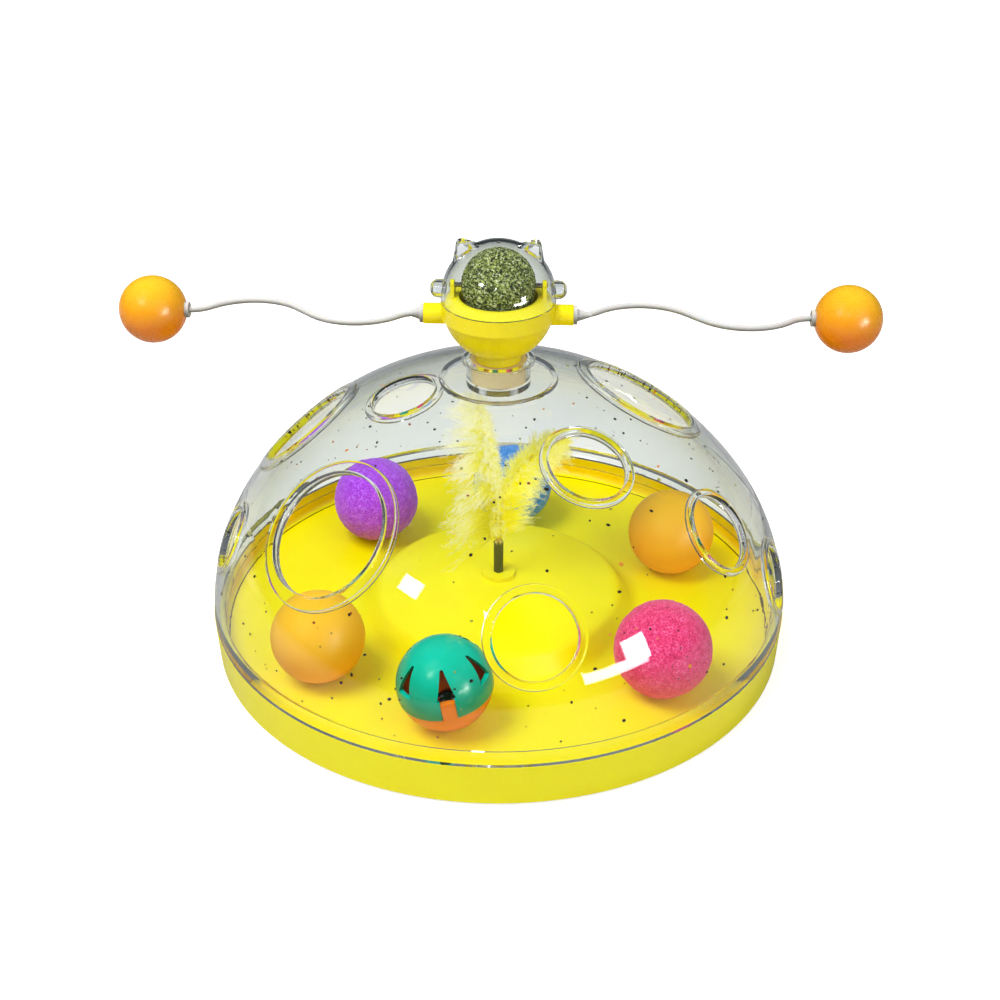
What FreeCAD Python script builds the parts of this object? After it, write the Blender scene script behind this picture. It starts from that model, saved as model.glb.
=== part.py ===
"""Cat track ball toy: a round tray with a ring track of balls, a clear dome with paw holes, and a turning head.

Lengths are millimetres and angles are degrees. The origin is the middle of the toy's underside, +Z is up, and
the toy is seen along +Y with +X to the right.
"""

import FreeCAD, Part

import math
import os
import re

import Sketcher
from FreeCAD import Vector

# Driving sizes
SIZES = {
    # Tray
    "tray_radius": 129.0,
    "skirt_taper": 1.0,
    "tray_wall": 2.4,
    "rim_height": 20.0,
    "floor_height": 9.0,
    "skirt_height": 1.2,
    "floor_round": 3.0,
    "track_width": 63.6,
    "mound_slope_width": 8.0,
    "mound_edge_rise": 11.3,
    "mound_rise": 5.9,
    "mound_foot_round": 8.0,
    "mound_edge_round": 6.0,
    "boss_radius": 7.5,
    "boss_rise": 1.8,
    "socket_depth": 11.0,
    "socket_wall": 2.7,
    # Feet
    "foot_count": 4,
    "foot_inset": 24.0,
    "foot_radius": 6.8,
    "foot_height": 2.4,
    "foot_recess": 0.8,
    "foot_gap": 0.2,
    "foot_boss_wall": 1.0,
    # Dome
    "dome_low_radius": 95.0,
    "dome_spring_height": 15.5,
    "dome_bend_angle": 35.5,
    "dome_wall": 2.4,
    "seam_gap": 0.1,
    "spigot_gap": 0.3,
    "spigot_wall": 2.2,
    "spigot_depth": 4.2,
    "foot_band_height": 5.0,
    "foot_band_slope": 1.4,
    "lug_count": 4,
    "lug_width": 20.0,
    "lug_height": 4.0,
    "lug_reach": 0.6,
    "lug_gap": 0.3,
    "step_radius": 25.2,
    "step_slope": 0.4,
    "step_wall": 2.0,
    "step_rise": 1.61,
    "collar_rise": 0.5,
    "collar_lap": 1.5,
    "collar_sink": 1.0,
    "collar_round": 0.8,
    # Cup on the dome
    "cup_radius": 13.7,
    "cup_wall": 1.8,
    "cup_rise": 8.3,
    "cup_sink": 2.6,
    "cup_floor_wall": 2.4,
    "lip_radius": 15.7,
    "lip_height": 1.5,
    "lip_round": 0.6,
    # Head bearing
    "spindle_radius": 5.1,
    "spindle_gap": 0.08,
    "spindle_floor_gap": 0.3,
    "spindle_end_gap": 0.2,
    "bush_gap": 0.1,
    "bush_height": 10.3,
    "head_lift": 0.2,
    "washer_radius": 8.0,
    "washer_height": 1.2,
    "screw_radius": 1.5,
    "screw_gap": 0.05,
    "screw_length": 8.0,
    "screw_head_radius": 3.2,
    "screw_head_height": 2.4,
    "screw_slot_width": 0.9,
    "screw_slot_depth": 1.1,
    "screw_point": 0.3,
    # Head
    "head_turn": -2.0,
    "neck_radius": 9.7,
    "neck_height": 3.4,
    "head_radius": 23.5,
    "arm_drop": 4.6,
    "shoulder_rise": 2.0,
    "cap_radius": 24.0,
    "cap_wall": 1.6,
    "cap_gap": 0.1,
    "cap_fit": 0.4,
    "cap_skirt": 1.2,
    "collar_height": 1.9,
    "collar_slope_width": 4.2,
    "bowl_radius": 16.4,
    "bowl_depth": 21.4,
    "bowl_floor_radius": 10.0,
    "bowl_floor_slope": 9.5,
    "bowl_taper": 0.4,
    "catnip_rise": 6.4,
    "catnip_radius": 15.5,
    "axle_radius": 1.0,
    "axle_gap": 0.05,
    "axle_end": 20.2,
    "lug_base_width": 7.0,
    "lug_tip_radius": 2.2,
    "ball_side_gap": 2.6,
    "lug_wall": 1.6,
    "knob_radius": 3.9,
    "knob_rise": 3.3,
    "knob_reach": 4.3,
    "knob_wall": 1.5,
    "knob_round": 3.5,
    "ear_outer_angle": 36.8,
    "ear_inner_angle": 72.5,
    "ear_tip_angle": 56.0,
    "ear_rise": 6.5,
    "ear_root": 0.3,
    "ear_tip_round": 2.2,
    "ear_depth": 6.5,
    "ear_round": 1.8,
    # Arms
    "arm_tube_radius": 4.35,
    "arm_tube_end": 31.2,
    "arm_tube_sink": 2.0,
    "arm_socket_depth": 8.0,
    "plug_radius": 2.5,
    "plug_length": 7.5,
    "plug_gap": 0.08,
    "arm_gap": 0.1,
    "arm_flange_radius": 3.95,
    "arm_flange_width": 1.5,
    "flare_radius": 2.7,
    "flare_length": 6.1,
    "flare_tip_radius": 0.6,
    "rod_radius": 1.25,
    "rod_length": 96.7,
    "wave_height": 10.8,
    "wave_radius": 26.0,
    "wave_near": 26.8,
    "wave_far": 26.7,
    "end_flange_radius": 3.35,
    "end_flange_width": 2.3,
    "peg_radius": 1.5,
    "peg_length": 7.0,
    "peg_gap": 0.1,
    "arm_ball_radius": 14.1,
    "arm_ball_recess": 1.1,
    # Balls on the track
    "ball_gap": 0.25,
    "hollow_ball_wall": 1.0,
    "orange_left_radius": 20.0,
    "orange_left_wall_gap": 12.9,
    "orange_left_angle": -145.1,
    "orange_right_radius": 20.0,
    "orange_right_wall_gap": 19.1,
    "orange_right_angle": 21.1,
    "purple_radius": 20.6,
    "purple_wall_gap": 20.6,
    "purple_angle": 134.5,
    "pink_radius": 21.0,
    "pink_wall_gap": 11.6,
    "pink_angle": -42.8,
    "blue_radius": 20.0,
    "blue_wall_gap": 29.4,
    "blue_angle": 85.0,
    # Rattle ball
    "rattle_radius": 20.1,
    "rattle_wall_gap": 17.6,
    "rattle_angle": -104.3,
    "rattle_tilt": -8.6,
    "rattle_turn": 7.0,
    "rattle_wall": 1.8,
    "rattle_parting": -3.5,
    "rattle_seam": 0.1,
    "rattle_step": 0.3,
    "rattle_spigot_gap": 0.25,
    "rattle_spigot_wall": 1.2,
    "rattle_spigot_rise": 6.4,
    "windows_per_tab": 2,
    "window_width": 8.2,
    "window_height": 10.6,
    "window_base": 5.0,
    "window_tip": 1.4,
    "window_round": 0.9,
    "tab_count": 3,
    "tab_width": 5.8,
    "tab_drop": 0.9,
    "tab_gap": 0.2,
    "tab_inset": 0.35,
    "jingle_radius": 6.5,
    "jingle_wall": 0.6,
    "jingle_gap": 0.3,
    "jingle_slot": 1.2,
    "jingle_slot_rise": 2.2,
    "jingle_hole": 1.6,
    "jingle_hole_out": 4.5,
    "jingle_hole_rise": 1.6,
    "pellet_radius": 1.8,
    "pellet_gap": 0.1,
    # Feathers
    "sleeve_radius": 2.2,
    "sleeve_gap": 0.1,
    "sleeve_lift": 0.2,
    "sleeve_length": 26.1,
    "sleeve_bore": 1.75,
    "sleeve_bore_depth": 1.3,
    "quill_radius": 0.7,
    "quill_spread": 0.8,
    "quill_depth": 1.0,
    "quill_straight": 12.7,
    "quill_gap": 0.25,
    "left_tip_out": 8.8,
    "left_tip_height": 111.0,
    "right_tip_out": 29.0,
    "right_tip_height": 96.0,
    "left_plume_length": 80.0,
    "left_plume_width": 23.0,
    "left_plume_depth": 24.0,
    "left_plume_out": 14.5,
    "left_plume_middle": 73.0,
    "left_plume_lean": -6.0,
    "right_plume_length": 62.0,
    "right_plume_width": 16.0,
    "right_plume_depth": 19.0,
    "right_plume_out": 18.0,
    "right_plume_middle": 70.0,
    "right_plume_lean": 25.0,
}

# Each paw hole: direction round the dome, climb angle, bore radius and width of the collar's ring
PAW_HOLES = {
    "front_left": (-137.5, 45.6, 26.8, 6.0),
    "right": (16.2, 60.9, 25.8, 5.2),
    "back_left": (167.0, 49.3, 23.5, 5.5),
    "front": (-82.6, 34.8, 16.9, 3.8),
    "front_right": (-27.6, 40.2, 16.1, 3.2),
    "front_top": (-54.5, 62.7, 16.5, 3.5),
    "left": (-172.0, 25.5, 13.4, 3.6),
    "left_top": (-170.0, 72.5, 14.0, 3.5),
    "right_low": (-13.0, 17.0, 14.0, 3.5),
}
for hole_name, hole_numbers in PAW_HOLES.items():
    for part_name, number in zip(("angle", "climb", "bore", "ring"), hole_numbers):
        SIZES[f"{hole_name}_hole_{part_name}"] = number

# Places and sizes that follow from the driving sizes
PLACES = {
    "rim_inner": "tray_radius - tray_wall",
    "skirt_radius": "tray_radius - skirt_taper",
    "mound_foot_radius": "rim_inner - track_width",
    "mound_edge_radius": "mound_foot_radius - mound_slope_width",
    "mound_edge_height": "floor_height + mound_edge_rise",
    "boss_height": "mound_edge_height + mound_rise + boss_rise",
    "foot_circle": "tray_radius - foot_inset",
    "foot_angle": "180 / foot_count",
    "floor_under": "floor_height - tray_wall",
    "mound_slope": "atan(mound_edge_rise / mound_slope_width)",
    "crown_radius": "(mound_edge_radius ^ 2 + mound_rise ^ 2) / (2 * mound_rise)",
    "crown_centre": "mound_edge_height + mound_rise - crown_radius",
    "crown_slope": "asin(mound_edge_radius / crown_radius)",
    "edge_cut": "tray_wall / cos((mound_slope - crown_slope) / 2)",
    "foot_under_radius": "mound_foot_radius - tray_wall * tan(mound_slope / 2)",
    "edge_under_radius": "mound_edge_radius - edge_cut * sin((mound_slope + crown_slope) / 2)",
    "edge_under_height": "mound_edge_height - edge_cut * cos((mound_slope + crown_slope) / 2)",
    "socket_radius": "sleeve_radius + sleeve_gap",
    "socket_floor": "boss_height - socket_depth",
    "socket_tube": "socket_radius + socket_wall",
    "foot_boss_radius": "foot_radius + foot_gap + foot_boss_wall",
    "foot_boss_height": "foot_height - foot_recess",
    "dome_side": "tray_radius - dome_low_radius",
    "dome_top_radius": "dome_low_radius + dome_side / cos(dome_bend_angle)",
    "dome_top_centre": "dome_spring_height - dome_side * tan(dome_bend_angle)",
    "dome_foot": "rim_height + seam_gap",
    "spigot_radius": "rim_inner - spigot_gap",
    "spigot_base": "rim_height - spigot_depth",
    "spigot_inner": "spigot_radius - spigot_wall",
    "band_top": "dome_foot + foot_band_height",
    "band_slope_top": "band_top + foot_band_slope",
    "step_foot": "step_radius + step_slope",
    "step_inner": "step_radius - step_wall",
    "step_foot_height": "dome_top_centre + sqrt(dome_top_radius ^ 2 - step_foot ^ 2)",
    "plateau_height": "step_foot_height + step_rise",
    "plateau_under": "plateau_height - dome_wall",
    "cup_inner": "cup_radius - cup_wall",
    "cup_top": "plateau_height + cup_rise",
    "cup_floor": "plateau_height - cup_sink",
    "cup_under": "cup_floor - cup_floor_wall",
    "cup_bore": "spindle_radius + spindle_floor_gap",
    "bush_radius": "cup_inner - bush_gap",
    "bush_bore": "spindle_radius + spindle_gap",
    "bush_base": "cup_floor + bush_gap",
    "bush_top": "bush_base + bush_height",
    "neck_base": "bush_top + head_lift",
    "neck_top": "neck_base + neck_height",
    "spindle_base": "cup_under - spindle_end_gap",
    "washer_base": "spindle_base - washer_height",
    "head_centre": "neck_top + sqrt(head_radius ^ 2 - neck_radius ^ 2)",
    "arm_height": "head_centre - arm_drop",
    "shoulder": "head_centre + shoulder_rise",
    "collar_radius": "cap_radius - cap_wall - cap_fit",
    "collar_top": "shoulder + collar_height",
    "catnip_height": "shoulder + catnip_rise",
    "cap_base": "shoulder + cap_gap",
    "cap_centre": "cap_base + cap_skirt",
    "cap_inner": "cap_radius - cap_wall",
    "knob_height": "cap_centre + knob_rise",
    "knob_end": "cap_radius + knob_reach",
    "lug_inner": "catnip_radius + ball_side_gap",
    "near_angle": "2 * atan(wave_height / wave_near)",
    "near_radius": "wave_near / sin(near_angle) - wave_radius",
    "far_angle": "2 * atan(wave_height / wave_far)",
    "far_radius": "wave_far / sin(far_angle) - wave_radius",
    "crest_gap": "rod_length - wave_near - wave_far",
    "crest_drop": "2 * (wave_radius - wave_height)",
    "cross_lean": "asin(2 * wave_radius / sqrt(crest_gap ^ 2 + crest_drop ^ 2))",
    "cross_angle": "cross_lean - atan(crest_drop / crest_gap)",
    "arm_flange_start": "arm_tube_end + arm_gap",
    "arm_flange_end": "arm_flange_start + arm_flange_width",
    "plug_start": "arm_tube_end - plug_length",
    "near_crest": "arm_flange_end + wave_near",
    "rod_end": "arm_flange_end + rod_length",
    "far_crest": "rod_end - wave_far",
    "arm_end": "rod_end + end_flange_width",
    "arm_ball_centre": "arm_end + arm_ball_radius - arm_ball_recess",
    "recess_radius": "end_flange_radius + peg_gap",
    "orange_left_track": "rim_inner - orange_left_wall_gap - orange_left_radius",
    "orange_right_track": "rim_inner - orange_right_wall_gap - orange_right_radius",
    "purple_track": "rim_inner - purple_wall_gap - purple_radius",
    "pink_track": "rim_inner - pink_wall_gap - pink_radius",
    "blue_track": "rim_inner - blue_wall_gap - blue_radius",
    "rattle_track": "rim_inner - rattle_wall_gap - rattle_radius",
    "rattle_inner": "rattle_radius - rattle_wall",
    "rattle_low_radius": "rattle_radius - rattle_step",
    "rattle_low_inner": "rattle_low_radius - rattle_wall",
    "rattle_low_edge": "rattle_parting - rattle_seam",
    "window_count": "tab_count * windows_per_tab",
    "rattle_mouth": "sqrt(rattle_inner ^ 2 - rattle_parting ^ 2)",
    "rattle_spigot_radius": "rattle_mouth - rattle_spigot_gap",
    "rattle_spigot_inner": "rattle_spigot_radius - rattle_spigot_wall",
    "rattle_spigot_top": "rattle_low_edge + rattle_spigot_rise",
    "jingle_height": "jingle_radius + jingle_gap - rattle_low_inner",
    "pellet_height": "jingle_height - jingle_radius + jingle_wall + pellet_radius + pellet_gap",
    "sleeve_base": "socket_floor + sleeve_lift",
    "sleeve_top": "sleeve_base + sleeve_length",
    "quill_base": "sleeve_top - quill_depth",
    "quill_bend": "quill_base + quill_straight",
}

doc = FreeCAD.newDocument("CatTrackBallToy")
sizes = doc.addObject("Spreadsheet::Sheet", "sizes")
places = doc.addObject("Spreadsheet::Sheet", "places")
WORD = re.compile(r"[a-z_][a-z_0-9]*")
PAIR = 2
FULL_TURN = 360
CUTTER_REACH = 3
NEAR = 1e-3


def formula(text, own_sheet=""):
    """Write the sheet's name before each size in a formula, apart from the sizes of its own sheet."""

    def with_sheet(found):
        word = found.group()
        if word in SIZES:
            return "sizes." + word
        if word in PLACES and own_sheet != "places":
            return "places." + word
        return word

    return WORD.sub(with_sheet, text)


def value(text):
    """Work out a formula as a plain number."""
    result = sizes.evalExpression(formula(text))
    return float(getattr(result, "Value", result))


def fill_sheets():
    """Put each driving size and each place that follows from them in its sheet, one per row."""
    for row, (name, number) in enumerate(SIZES.items(), start=1):
        sizes.set(f"A{row}", name)
        sizes.set(f"B{row}", str(number))
        sizes.setAlias(f"B{row}", name)
    doc.recompute()
    for row, (name, text) in enumerate(PLACES.items(), start=1):
        places.set(f"A{row}", name)
        places.set(f"B{row}", "=" + formula(text, "places"))
        places.setAlias(f"B{row}", name)
    doc.recompute()


def bind(thing, **formulas):
    """Bind properties of an object to formulas of the sizes."""
    for name, text in formulas.items():
        thing.setExpression(name, formula(text))
    return thing


def place(thing, x="0", y="0", z="0", yaw="0", pitch="0", roll="0"):
    """Bind the place and the turn of an object."""
    thing.setExpression(
        "Placement", formula(f"placement(vector({x}; {y}; {z}); rotation({yaw}; {pitch}; {roll}))")
    )
    return thing


def sphere(name, radius, **spot):
    """Make a sphere."""
    return place(bind(doc.addObject("Part::Sphere", name), Radius=radius), **spot)


def cylinder(name, radius, height, **spot):
    """Make a cylinder that stands on its place."""
    return place(bind(doc.addObject("Part::Cylinder", name), Radius=radius, Height=height), **spot)


def box(name, length, width, height, **spot):
    """Make a box from its low corner."""
    return place(bind(doc.addObject("Part::Box", name), Length=length, Width=width, Height=height), **spot)


def cut(name, base, *tools):
    """Take one or more solids away from another."""
    result = doc.addObject("Part::Cut", name)
    result.Base = base
    result.Tool = tools[0] if len(tools) == 1 else join(name + "_tools", *tools)
    return result


def shared(name, base, tool):
    """Keep what two solids have in common."""
    result = doc.addObject("Part::Common", name)
    result.Base = base
    result.Tool = tool
    return result


def join(name, *solids):
    """Fuse solids into one."""
    result = doc.addObject("Part::MultiFuse", name)
    result.Shapes = list(solids)
    return result


def body_of(name):
    """Start a body that is built up from sketches."""
    body = doc.addObject("PartDesign::Body", name)
    body.Label = name
    return body


def sketch_on(body, name, plane, lift="0"):
    """Start a sketch on one of the body's own planes, moved along the plane's normal by lift."""
    sketch = body.newObject("Sketcher::SketchObject", name)
    support = next(item for item in body.Origin.OriginFeatures if item.Role == plane)
    sketch.AttachmentSupport = [(support, "")]
    sketch.MapMode = "FlatFace"
    sketch.setExpression("AttachmentOffset.Base.z", formula(lift))
    return sketch


def arc_between(start, end, radius):
    """Make the short arc from start to end; its centre is on the left of the way for a positive radius."""
    chord = end - start
    left = Vector(-chord.y, chord.x, 0).normalize() * math.copysign(1, radius)
    height = math.sqrt(radius**2 - (chord.Length / 2) ** 2)
    centre = (start + end) / 2 + left * height
    return Part.Arc(start, centre - left * abs(radius), end)


def outline(sketch, corners, closed=True):
    """Draw straight runs and arcs from corner to corner, each corner held by its two formulas.

    A corner is (x, y), or (x, y, radius) where an arc of that radius leads to the next corner.
    """
    points = [Vector(value(corner[0]), value(corner[1]), 0) for corner in corners]
    runs = len(corners) if closed else len(corners) - 1
    ends = []
    for index in range(runs):
        start = points[index]
        end = points[(index + 1) % len(points)]
        curved = len(corners[index]) > 2
        if curved:
            edge = sketch.addGeometry(arc_between(start, end, value(corners[index][2])), False)
        else:
            edge = sketch.addGeometry(Part.LineSegment(start, end), False)
        forward = sketch.getPoint(edge, 1).distanceToPoint(start) < NEAR
        ends.append((edge, (1, 2) if forward else (2, 1)))
        if curved:
            radius = abs(value(corners[index][2]))
            tie(sketch, Sketcher.Constraint("Radius", edge, radius), f"abs({corners[index][2]})")
    for index, corner in enumerate(corners):
        if index < runs:
            edge, (first, last) = ends[index]
            point = first
        else:
            edge, (first, last) = ends[-1]
            point = last
        fix_point(sketch, edge, point, corner[0], corner[1])
        if 0 < index < runs or (closed and index == 0):
            before, (before_first, before_last) = ends[index - 1]
            sketch.addConstraint(Sketcher.Constraint("Coincident", before, before_last, edge, point))


def tie(sketch, constraint, text):
    """Add a constraint and bind its measure to a formula."""
    index = sketch.addConstraint(constraint)
    sketch.setExpression(f"Constraints[{index}]", formula(text))


def fix_point(sketch, edge, point, across, up):
    """Hold a point of a sketch at its two formulas, on the axis where one of them is zero."""
    for kind, text, axis in (("DistanceX", across, -2), ("DistanceY", up, -1)):
        if text == "0":
            sketch.addConstraint(Sketcher.Constraint("PointOnObject", edge, point, axis))
        else:
            tie(sketch, Sketcher.Constraint(kind, -1, 1, edge, point, value(text)), text)


def circle(sketch, radius, x="0", y="0"):
    """Draw a circle."""
    edge = sketch.addGeometry(Part.Circle(Vector(value(x), value(y), 0), Vector(0, 0, 1), value(radius)), False)
    tie(sketch, Sketcher.Constraint("Radius", edge, value(radius)), radius)
    fix_point(sketch, edge, 3, x, y)


def spin(body, name, corners, plane="XZ_Plane", axis="V_Axis"):
    """Turn an outline once round an axis of its sketch."""
    sketch = sketch_on(body, name + "_outline", plane)
    outline(sketch, corners)
    turned = body.newObject("PartDesign::Revolution", name)
    turned.Profile = sketch
    turned.ReferenceAxis = (sketch, [axis])
    turned.Angle = FULL_TURN
    doc.recompute()
    return turned


def extrude(body, kind, name, sketch, length, reverse=False):
    """Pad or pocket a sketch by a length, and check that it changes the solid."""
    before = body.Shape.Volume if body.Tip else 0
    feature = body.newObject("PartDesign::" + kind, name)
    feature.Profile = sketch
    feature.Reversed = reverse
    bind(feature, Length=length)
    doc.recompute()
    if abs(body.Shape.Volume - before) < NEAR:
        raise RuntimeError(name + " changes nothing")
    return feature


def repeat(body, name, features, count):
    """Repeat features evenly round the body's upright axis."""
    pattern = body.newObject("PartDesign::PolarPattern", name)
    pattern.Originals = features
    pattern.Axis = (next(item for item in body.Origin.OriginFeatures if item.Role == "Z_Axis"), [""])
    pattern.Angle = FULL_TURN
    bind(pattern, Occurrences=count)
    body.Tip = pattern
    doc.recompute()
    return pattern


def fillet(body, name, picked, radius):
    """Round the picked edges, or all edges of the picked faces, of what a body has so far."""
    base = body.Tip
    rounds = body.newObject("PartDesign::Fillet", name)
    rounds.Base = (base, picked)
    bind(rounds, Radius=radius)
    doc.recompute()


def is_circle(edge):
    """Tell whether an edge lies on a circle."""
    try:
        return edge.Curve.TypeId == "Part::GeomCircle"
    except TypeError:
        return False


def round_rings(body, name, radius, rings):
    """Round the level circular edges that have the given radii and heights."""
    picked = []
    for index, edge in enumerate(body.Tip.Shape.Edges, start=1):
        if not is_circle(edge):
            continue
        for ring, height in rings:
            same = abs(edge.Curve.Radius - value(ring)) < NEAR
            if same and abs(edge.Curve.Center.z - value(height)) < NEAR:
                picked.append(f"Edge{index}")
    fillet(body, name, picked, radius)


def round_collar(name, ring, radius):
    """Round the edges where a collar's two straight sides meet its curved front and back."""
    doc.recompute()
    rounded = doc.addObject("Part::Fillet", name)
    rounded.Base = ring
    size = value(radius)
    edges = []
    for index, edge in enumerate(ring.Shape.Edges, start=1):
        sides = [isinstance(face.Surface, Part.Cylinder) for face in ring.Shape.ancestorsOfType(edge, Part.Face)]
        if any(sides) and not all(sides):
            edges.append((index, size, size))
    rounded.Edges = edges
    return rounded


def make_base_tray():
    """Make the tray: skirt, track floor, mound with the sleeve's socket, foot bosses and rim notches."""
    body = body_of("base_tray")
    crown_top = "crown_centre + sqrt(crown_radius ^ 2 - boss_radius ^ 2)"
    crown_under = "crown_centre + sqrt((crown_radius - tray_wall) ^ 2 - socket_tube ^ 2)"
    skirt_lean = "(tray_radius - skirt_radius) * (floor_under - skirt_height) / (rim_height - skirt_height)"
    spin(
        body,
        "tray_shell",
        [
            ("skirt_radius", "skirt_height"),
            ("tray_radius", "rim_height"),
            ("rim_inner", "rim_height"),
            ("rim_inner", "floor_height"),
            ("mound_foot_radius", "floor_height"),
            ("mound_edge_radius", "mound_edge_height", "crown_radius"),
            ("boss_radius", crown_top),
            ("boss_radius", "boss_height"),
            ("socket_radius", "boss_height"),
            ("socket_radius", "socket_floor"),
            ("0", "socket_floor"),
            ("0", "socket_floor - tray_wall"),
            ("socket_tube", "socket_floor - tray_wall"),
            ("socket_tube", crown_under, "tray_wall - crown_radius"),
            ("edge_under_radius", "edge_under_height"),
            ("foot_under_radius", "floor_under"),
            ("skirt_radius - tray_wall + " + skirt_lean, "floor_under"),
            ("skirt_radius - tray_wall", "skirt_height"),
        ],
    )
    round_rings(body, "wall_round", "floor_round", [("rim_inner", "floor_height")])
    round_rings(body, "foot_round", "mound_foot_round", [("mound_foot_radius", "floor_height")])
    round_rings(body, "edge_round", "mound_edge_round", [("mound_edge_radius", "mound_edge_height")])
    round_rings(body, "foot_under_round", "mound_foot_round + tray_wall", [("foot_under_radius", "floor_under")])
    round_rings(
        body, "edge_under_round", "mound_edge_round - tray_wall", [("edge_under_radius", "edge_under_height")]
    )
    foot_spot = ("foot_circle * cos(foot_angle)", "foot_circle * sin(foot_angle)")
    bosses = sketch_on(body, "foot_boss_circle", "XY_Plane", "floor_under + tray_wall / 2")
    circle(bosses, "foot_boss_radius", *foot_spot)
    boss = extrude(body, "Pad", "foot_boss", bosses, "floor_under + tray_wall / 2 - foot_boss_height", True)
    repeat(body, "foot_bosses", [boss], "foot_count")
    recesses = sketch_on(body, "foot_recess_circle", "XY_Plane", "foot_boss_height")
    circle(recesses, "foot_radius + foot_gap", *foot_spot)
    recess = extrude(body, "Pocket", "foot_recess_cut", recesses, "foot_recess", True)
    repeat(body, "foot_recesses", [recess], "foot_count")
    notch = lug_sketch(body, "rim_notch_outline", "rim_height", "rim_inner + lug_reach + lug_gap", "lug_gap")
    notch_cut = extrude(body, "Pocket", "rim_notch", notch, "spigot_depth + lug_gap")
    repeat(body, "rim_notches", [notch_cut], "lug_count")
    return body


def lug_sketch(body, name, height, reach, gap):
    """Draw the outline of a dome lug, or of its notch, seen from above."""
    sketch = sketch_on(body, name, "XY_Plane", height)
    half = f"lug_width / 2 + {gap}"
    outline(
        sketch,
        [
            ("spigot_inner + spigot_wall / 2", f"-({half})"),
            (reach, f"-({half})"),
            (reach, half),
            ("spigot_inner + spigot_wall / 2", half),
        ],
    )
    return sketch


def make_rubber_feet():
    """Make the pads that sit in the recesses of the foot bosses."""
    feet = []
    for number in range(1, int(value("foot_count")) + 1):
        turn = f"{PAIR * number - 1} * foot_angle"
        foot = cylinder(
            f"rubber_foot_{number}",
            "foot_radius",
            "foot_height",
            x=f"foot_circle * cos({turn})",
            y=f"foot_circle * sin({turn})",
        )
        feet.append(foot)
    return feet


def make_dome_shell():
    """Make the clear dome without its paw holes: foot band, spigot with lugs, stepped crown and cup."""
    body = body_of("dome_shell")
    low = "dome_low_radius"
    low_in = "(dome_low_radius - dome_wall)"
    top = "dome_top_radius"
    top_in = "(dome_top_radius - dome_wall)"
    foot_out = f"dome_side + sqrt({low} ^ 2 - (dome_foot - dome_spring_height) ^ 2)"
    band_in = f"dome_side + sqrt({low_in} ^ 2 - (band_slope_top - dome_spring_height) ^ 2)"
    spin(
        body,
        "dome_turned",
        [
            ("spigot_radius", "spigot_base"),
            ("spigot_radius", "dome_foot"),
            (foot_out, "dome_foot", low),
            (
                f"dome_side + {low} * cos(dome_bend_angle)",
                f"dome_spring_height + {low} * sin(dome_bend_angle)",
                top,
            ),
            ("step_foot", "step_foot_height"),
            ("step_radius", "plateau_height"),
            ("cup_radius", "plateau_height"),
            ("cup_radius", "cup_top - lip_height"),
            ("lip_radius", "cup_top - lip_height"),
            ("lip_radius", "cup_top"),
            ("cup_inner", "cup_top"),
            ("cup_inner", "cup_floor"),
            ("cup_bore", "cup_floor"),
            ("cup_bore", "cup_under"),
            ("cup_radius", "cup_under"),
            ("cup_radius", "plateau_under"),
            ("step_inner", "plateau_under"),
            ("step_inner", f"dome_top_centre + sqrt({top_in} ^ 2 - step_inner ^ 2)", "-" + top_in),
            (
                f"dome_side + {low_in} * cos(dome_bend_angle)",
                f"dome_spring_height + {low_in} * sin(dome_bend_angle)",
                "-" + low_in,
            ),
            (band_in, "band_slope_top"),
            ("spigot_inner", "band_top"),
            ("spigot_inner", "spigot_base"),
        ],
    )
    round_rings(
        body,
        "lip_rounds",
        "lip_round",
        [
            ("lip_radius", "cup_top"),
            ("lip_radius", "cup_top - lip_height"),
            ("cup_inner", "cup_top"),
            ("step_radius", "plateau_height"),
        ],
    )
    lug = lug_sketch(body, "lug_outline", "spigot_base", "rim_inner + lug_reach", "0")
    lug_pad = extrude(body, "Pad", "dome_lug", lug, "lug_height")
    repeat(body, "dome_lugs", [lug_pad], "lug_count")
    return body


def make_collar_layer():
    """Make the layer that follows the dome's skin and holds the front and back of every collar."""
    body = body_of("collar_layer")
    low = "(dome_low_radius + collar_rise)"
    low_in = "(dome_low_radius - dome_wall - collar_sink)"
    top = "(dome_top_radius + collar_rise)"
    top_in = "(dome_top_radius - dome_wall - collar_sink)"
    spin(
        body,
        "layer_turned",
        [
            (f"dome_side + {low}", "dome_spring_height", low),
            (
                f"dome_side + {low} * cos(dome_bend_angle)",
                f"dome_spring_height + {low} * sin(dome_bend_angle)",
                top,
            ),
            ("0", f"dome_top_centre + {top}"),
            ("0", f"dome_top_centre + {top_in}", "-" + top_in),
            (
                f"dome_side + {low_in} * cos(dome_bend_angle)",
                f"dome_spring_height + {low_in} * sin(dome_bend_angle)",
                "-" + low_in,
            ),
            (f"dome_side + {low_in}", "dome_spring_height"),
        ],
    )
    return body


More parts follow.
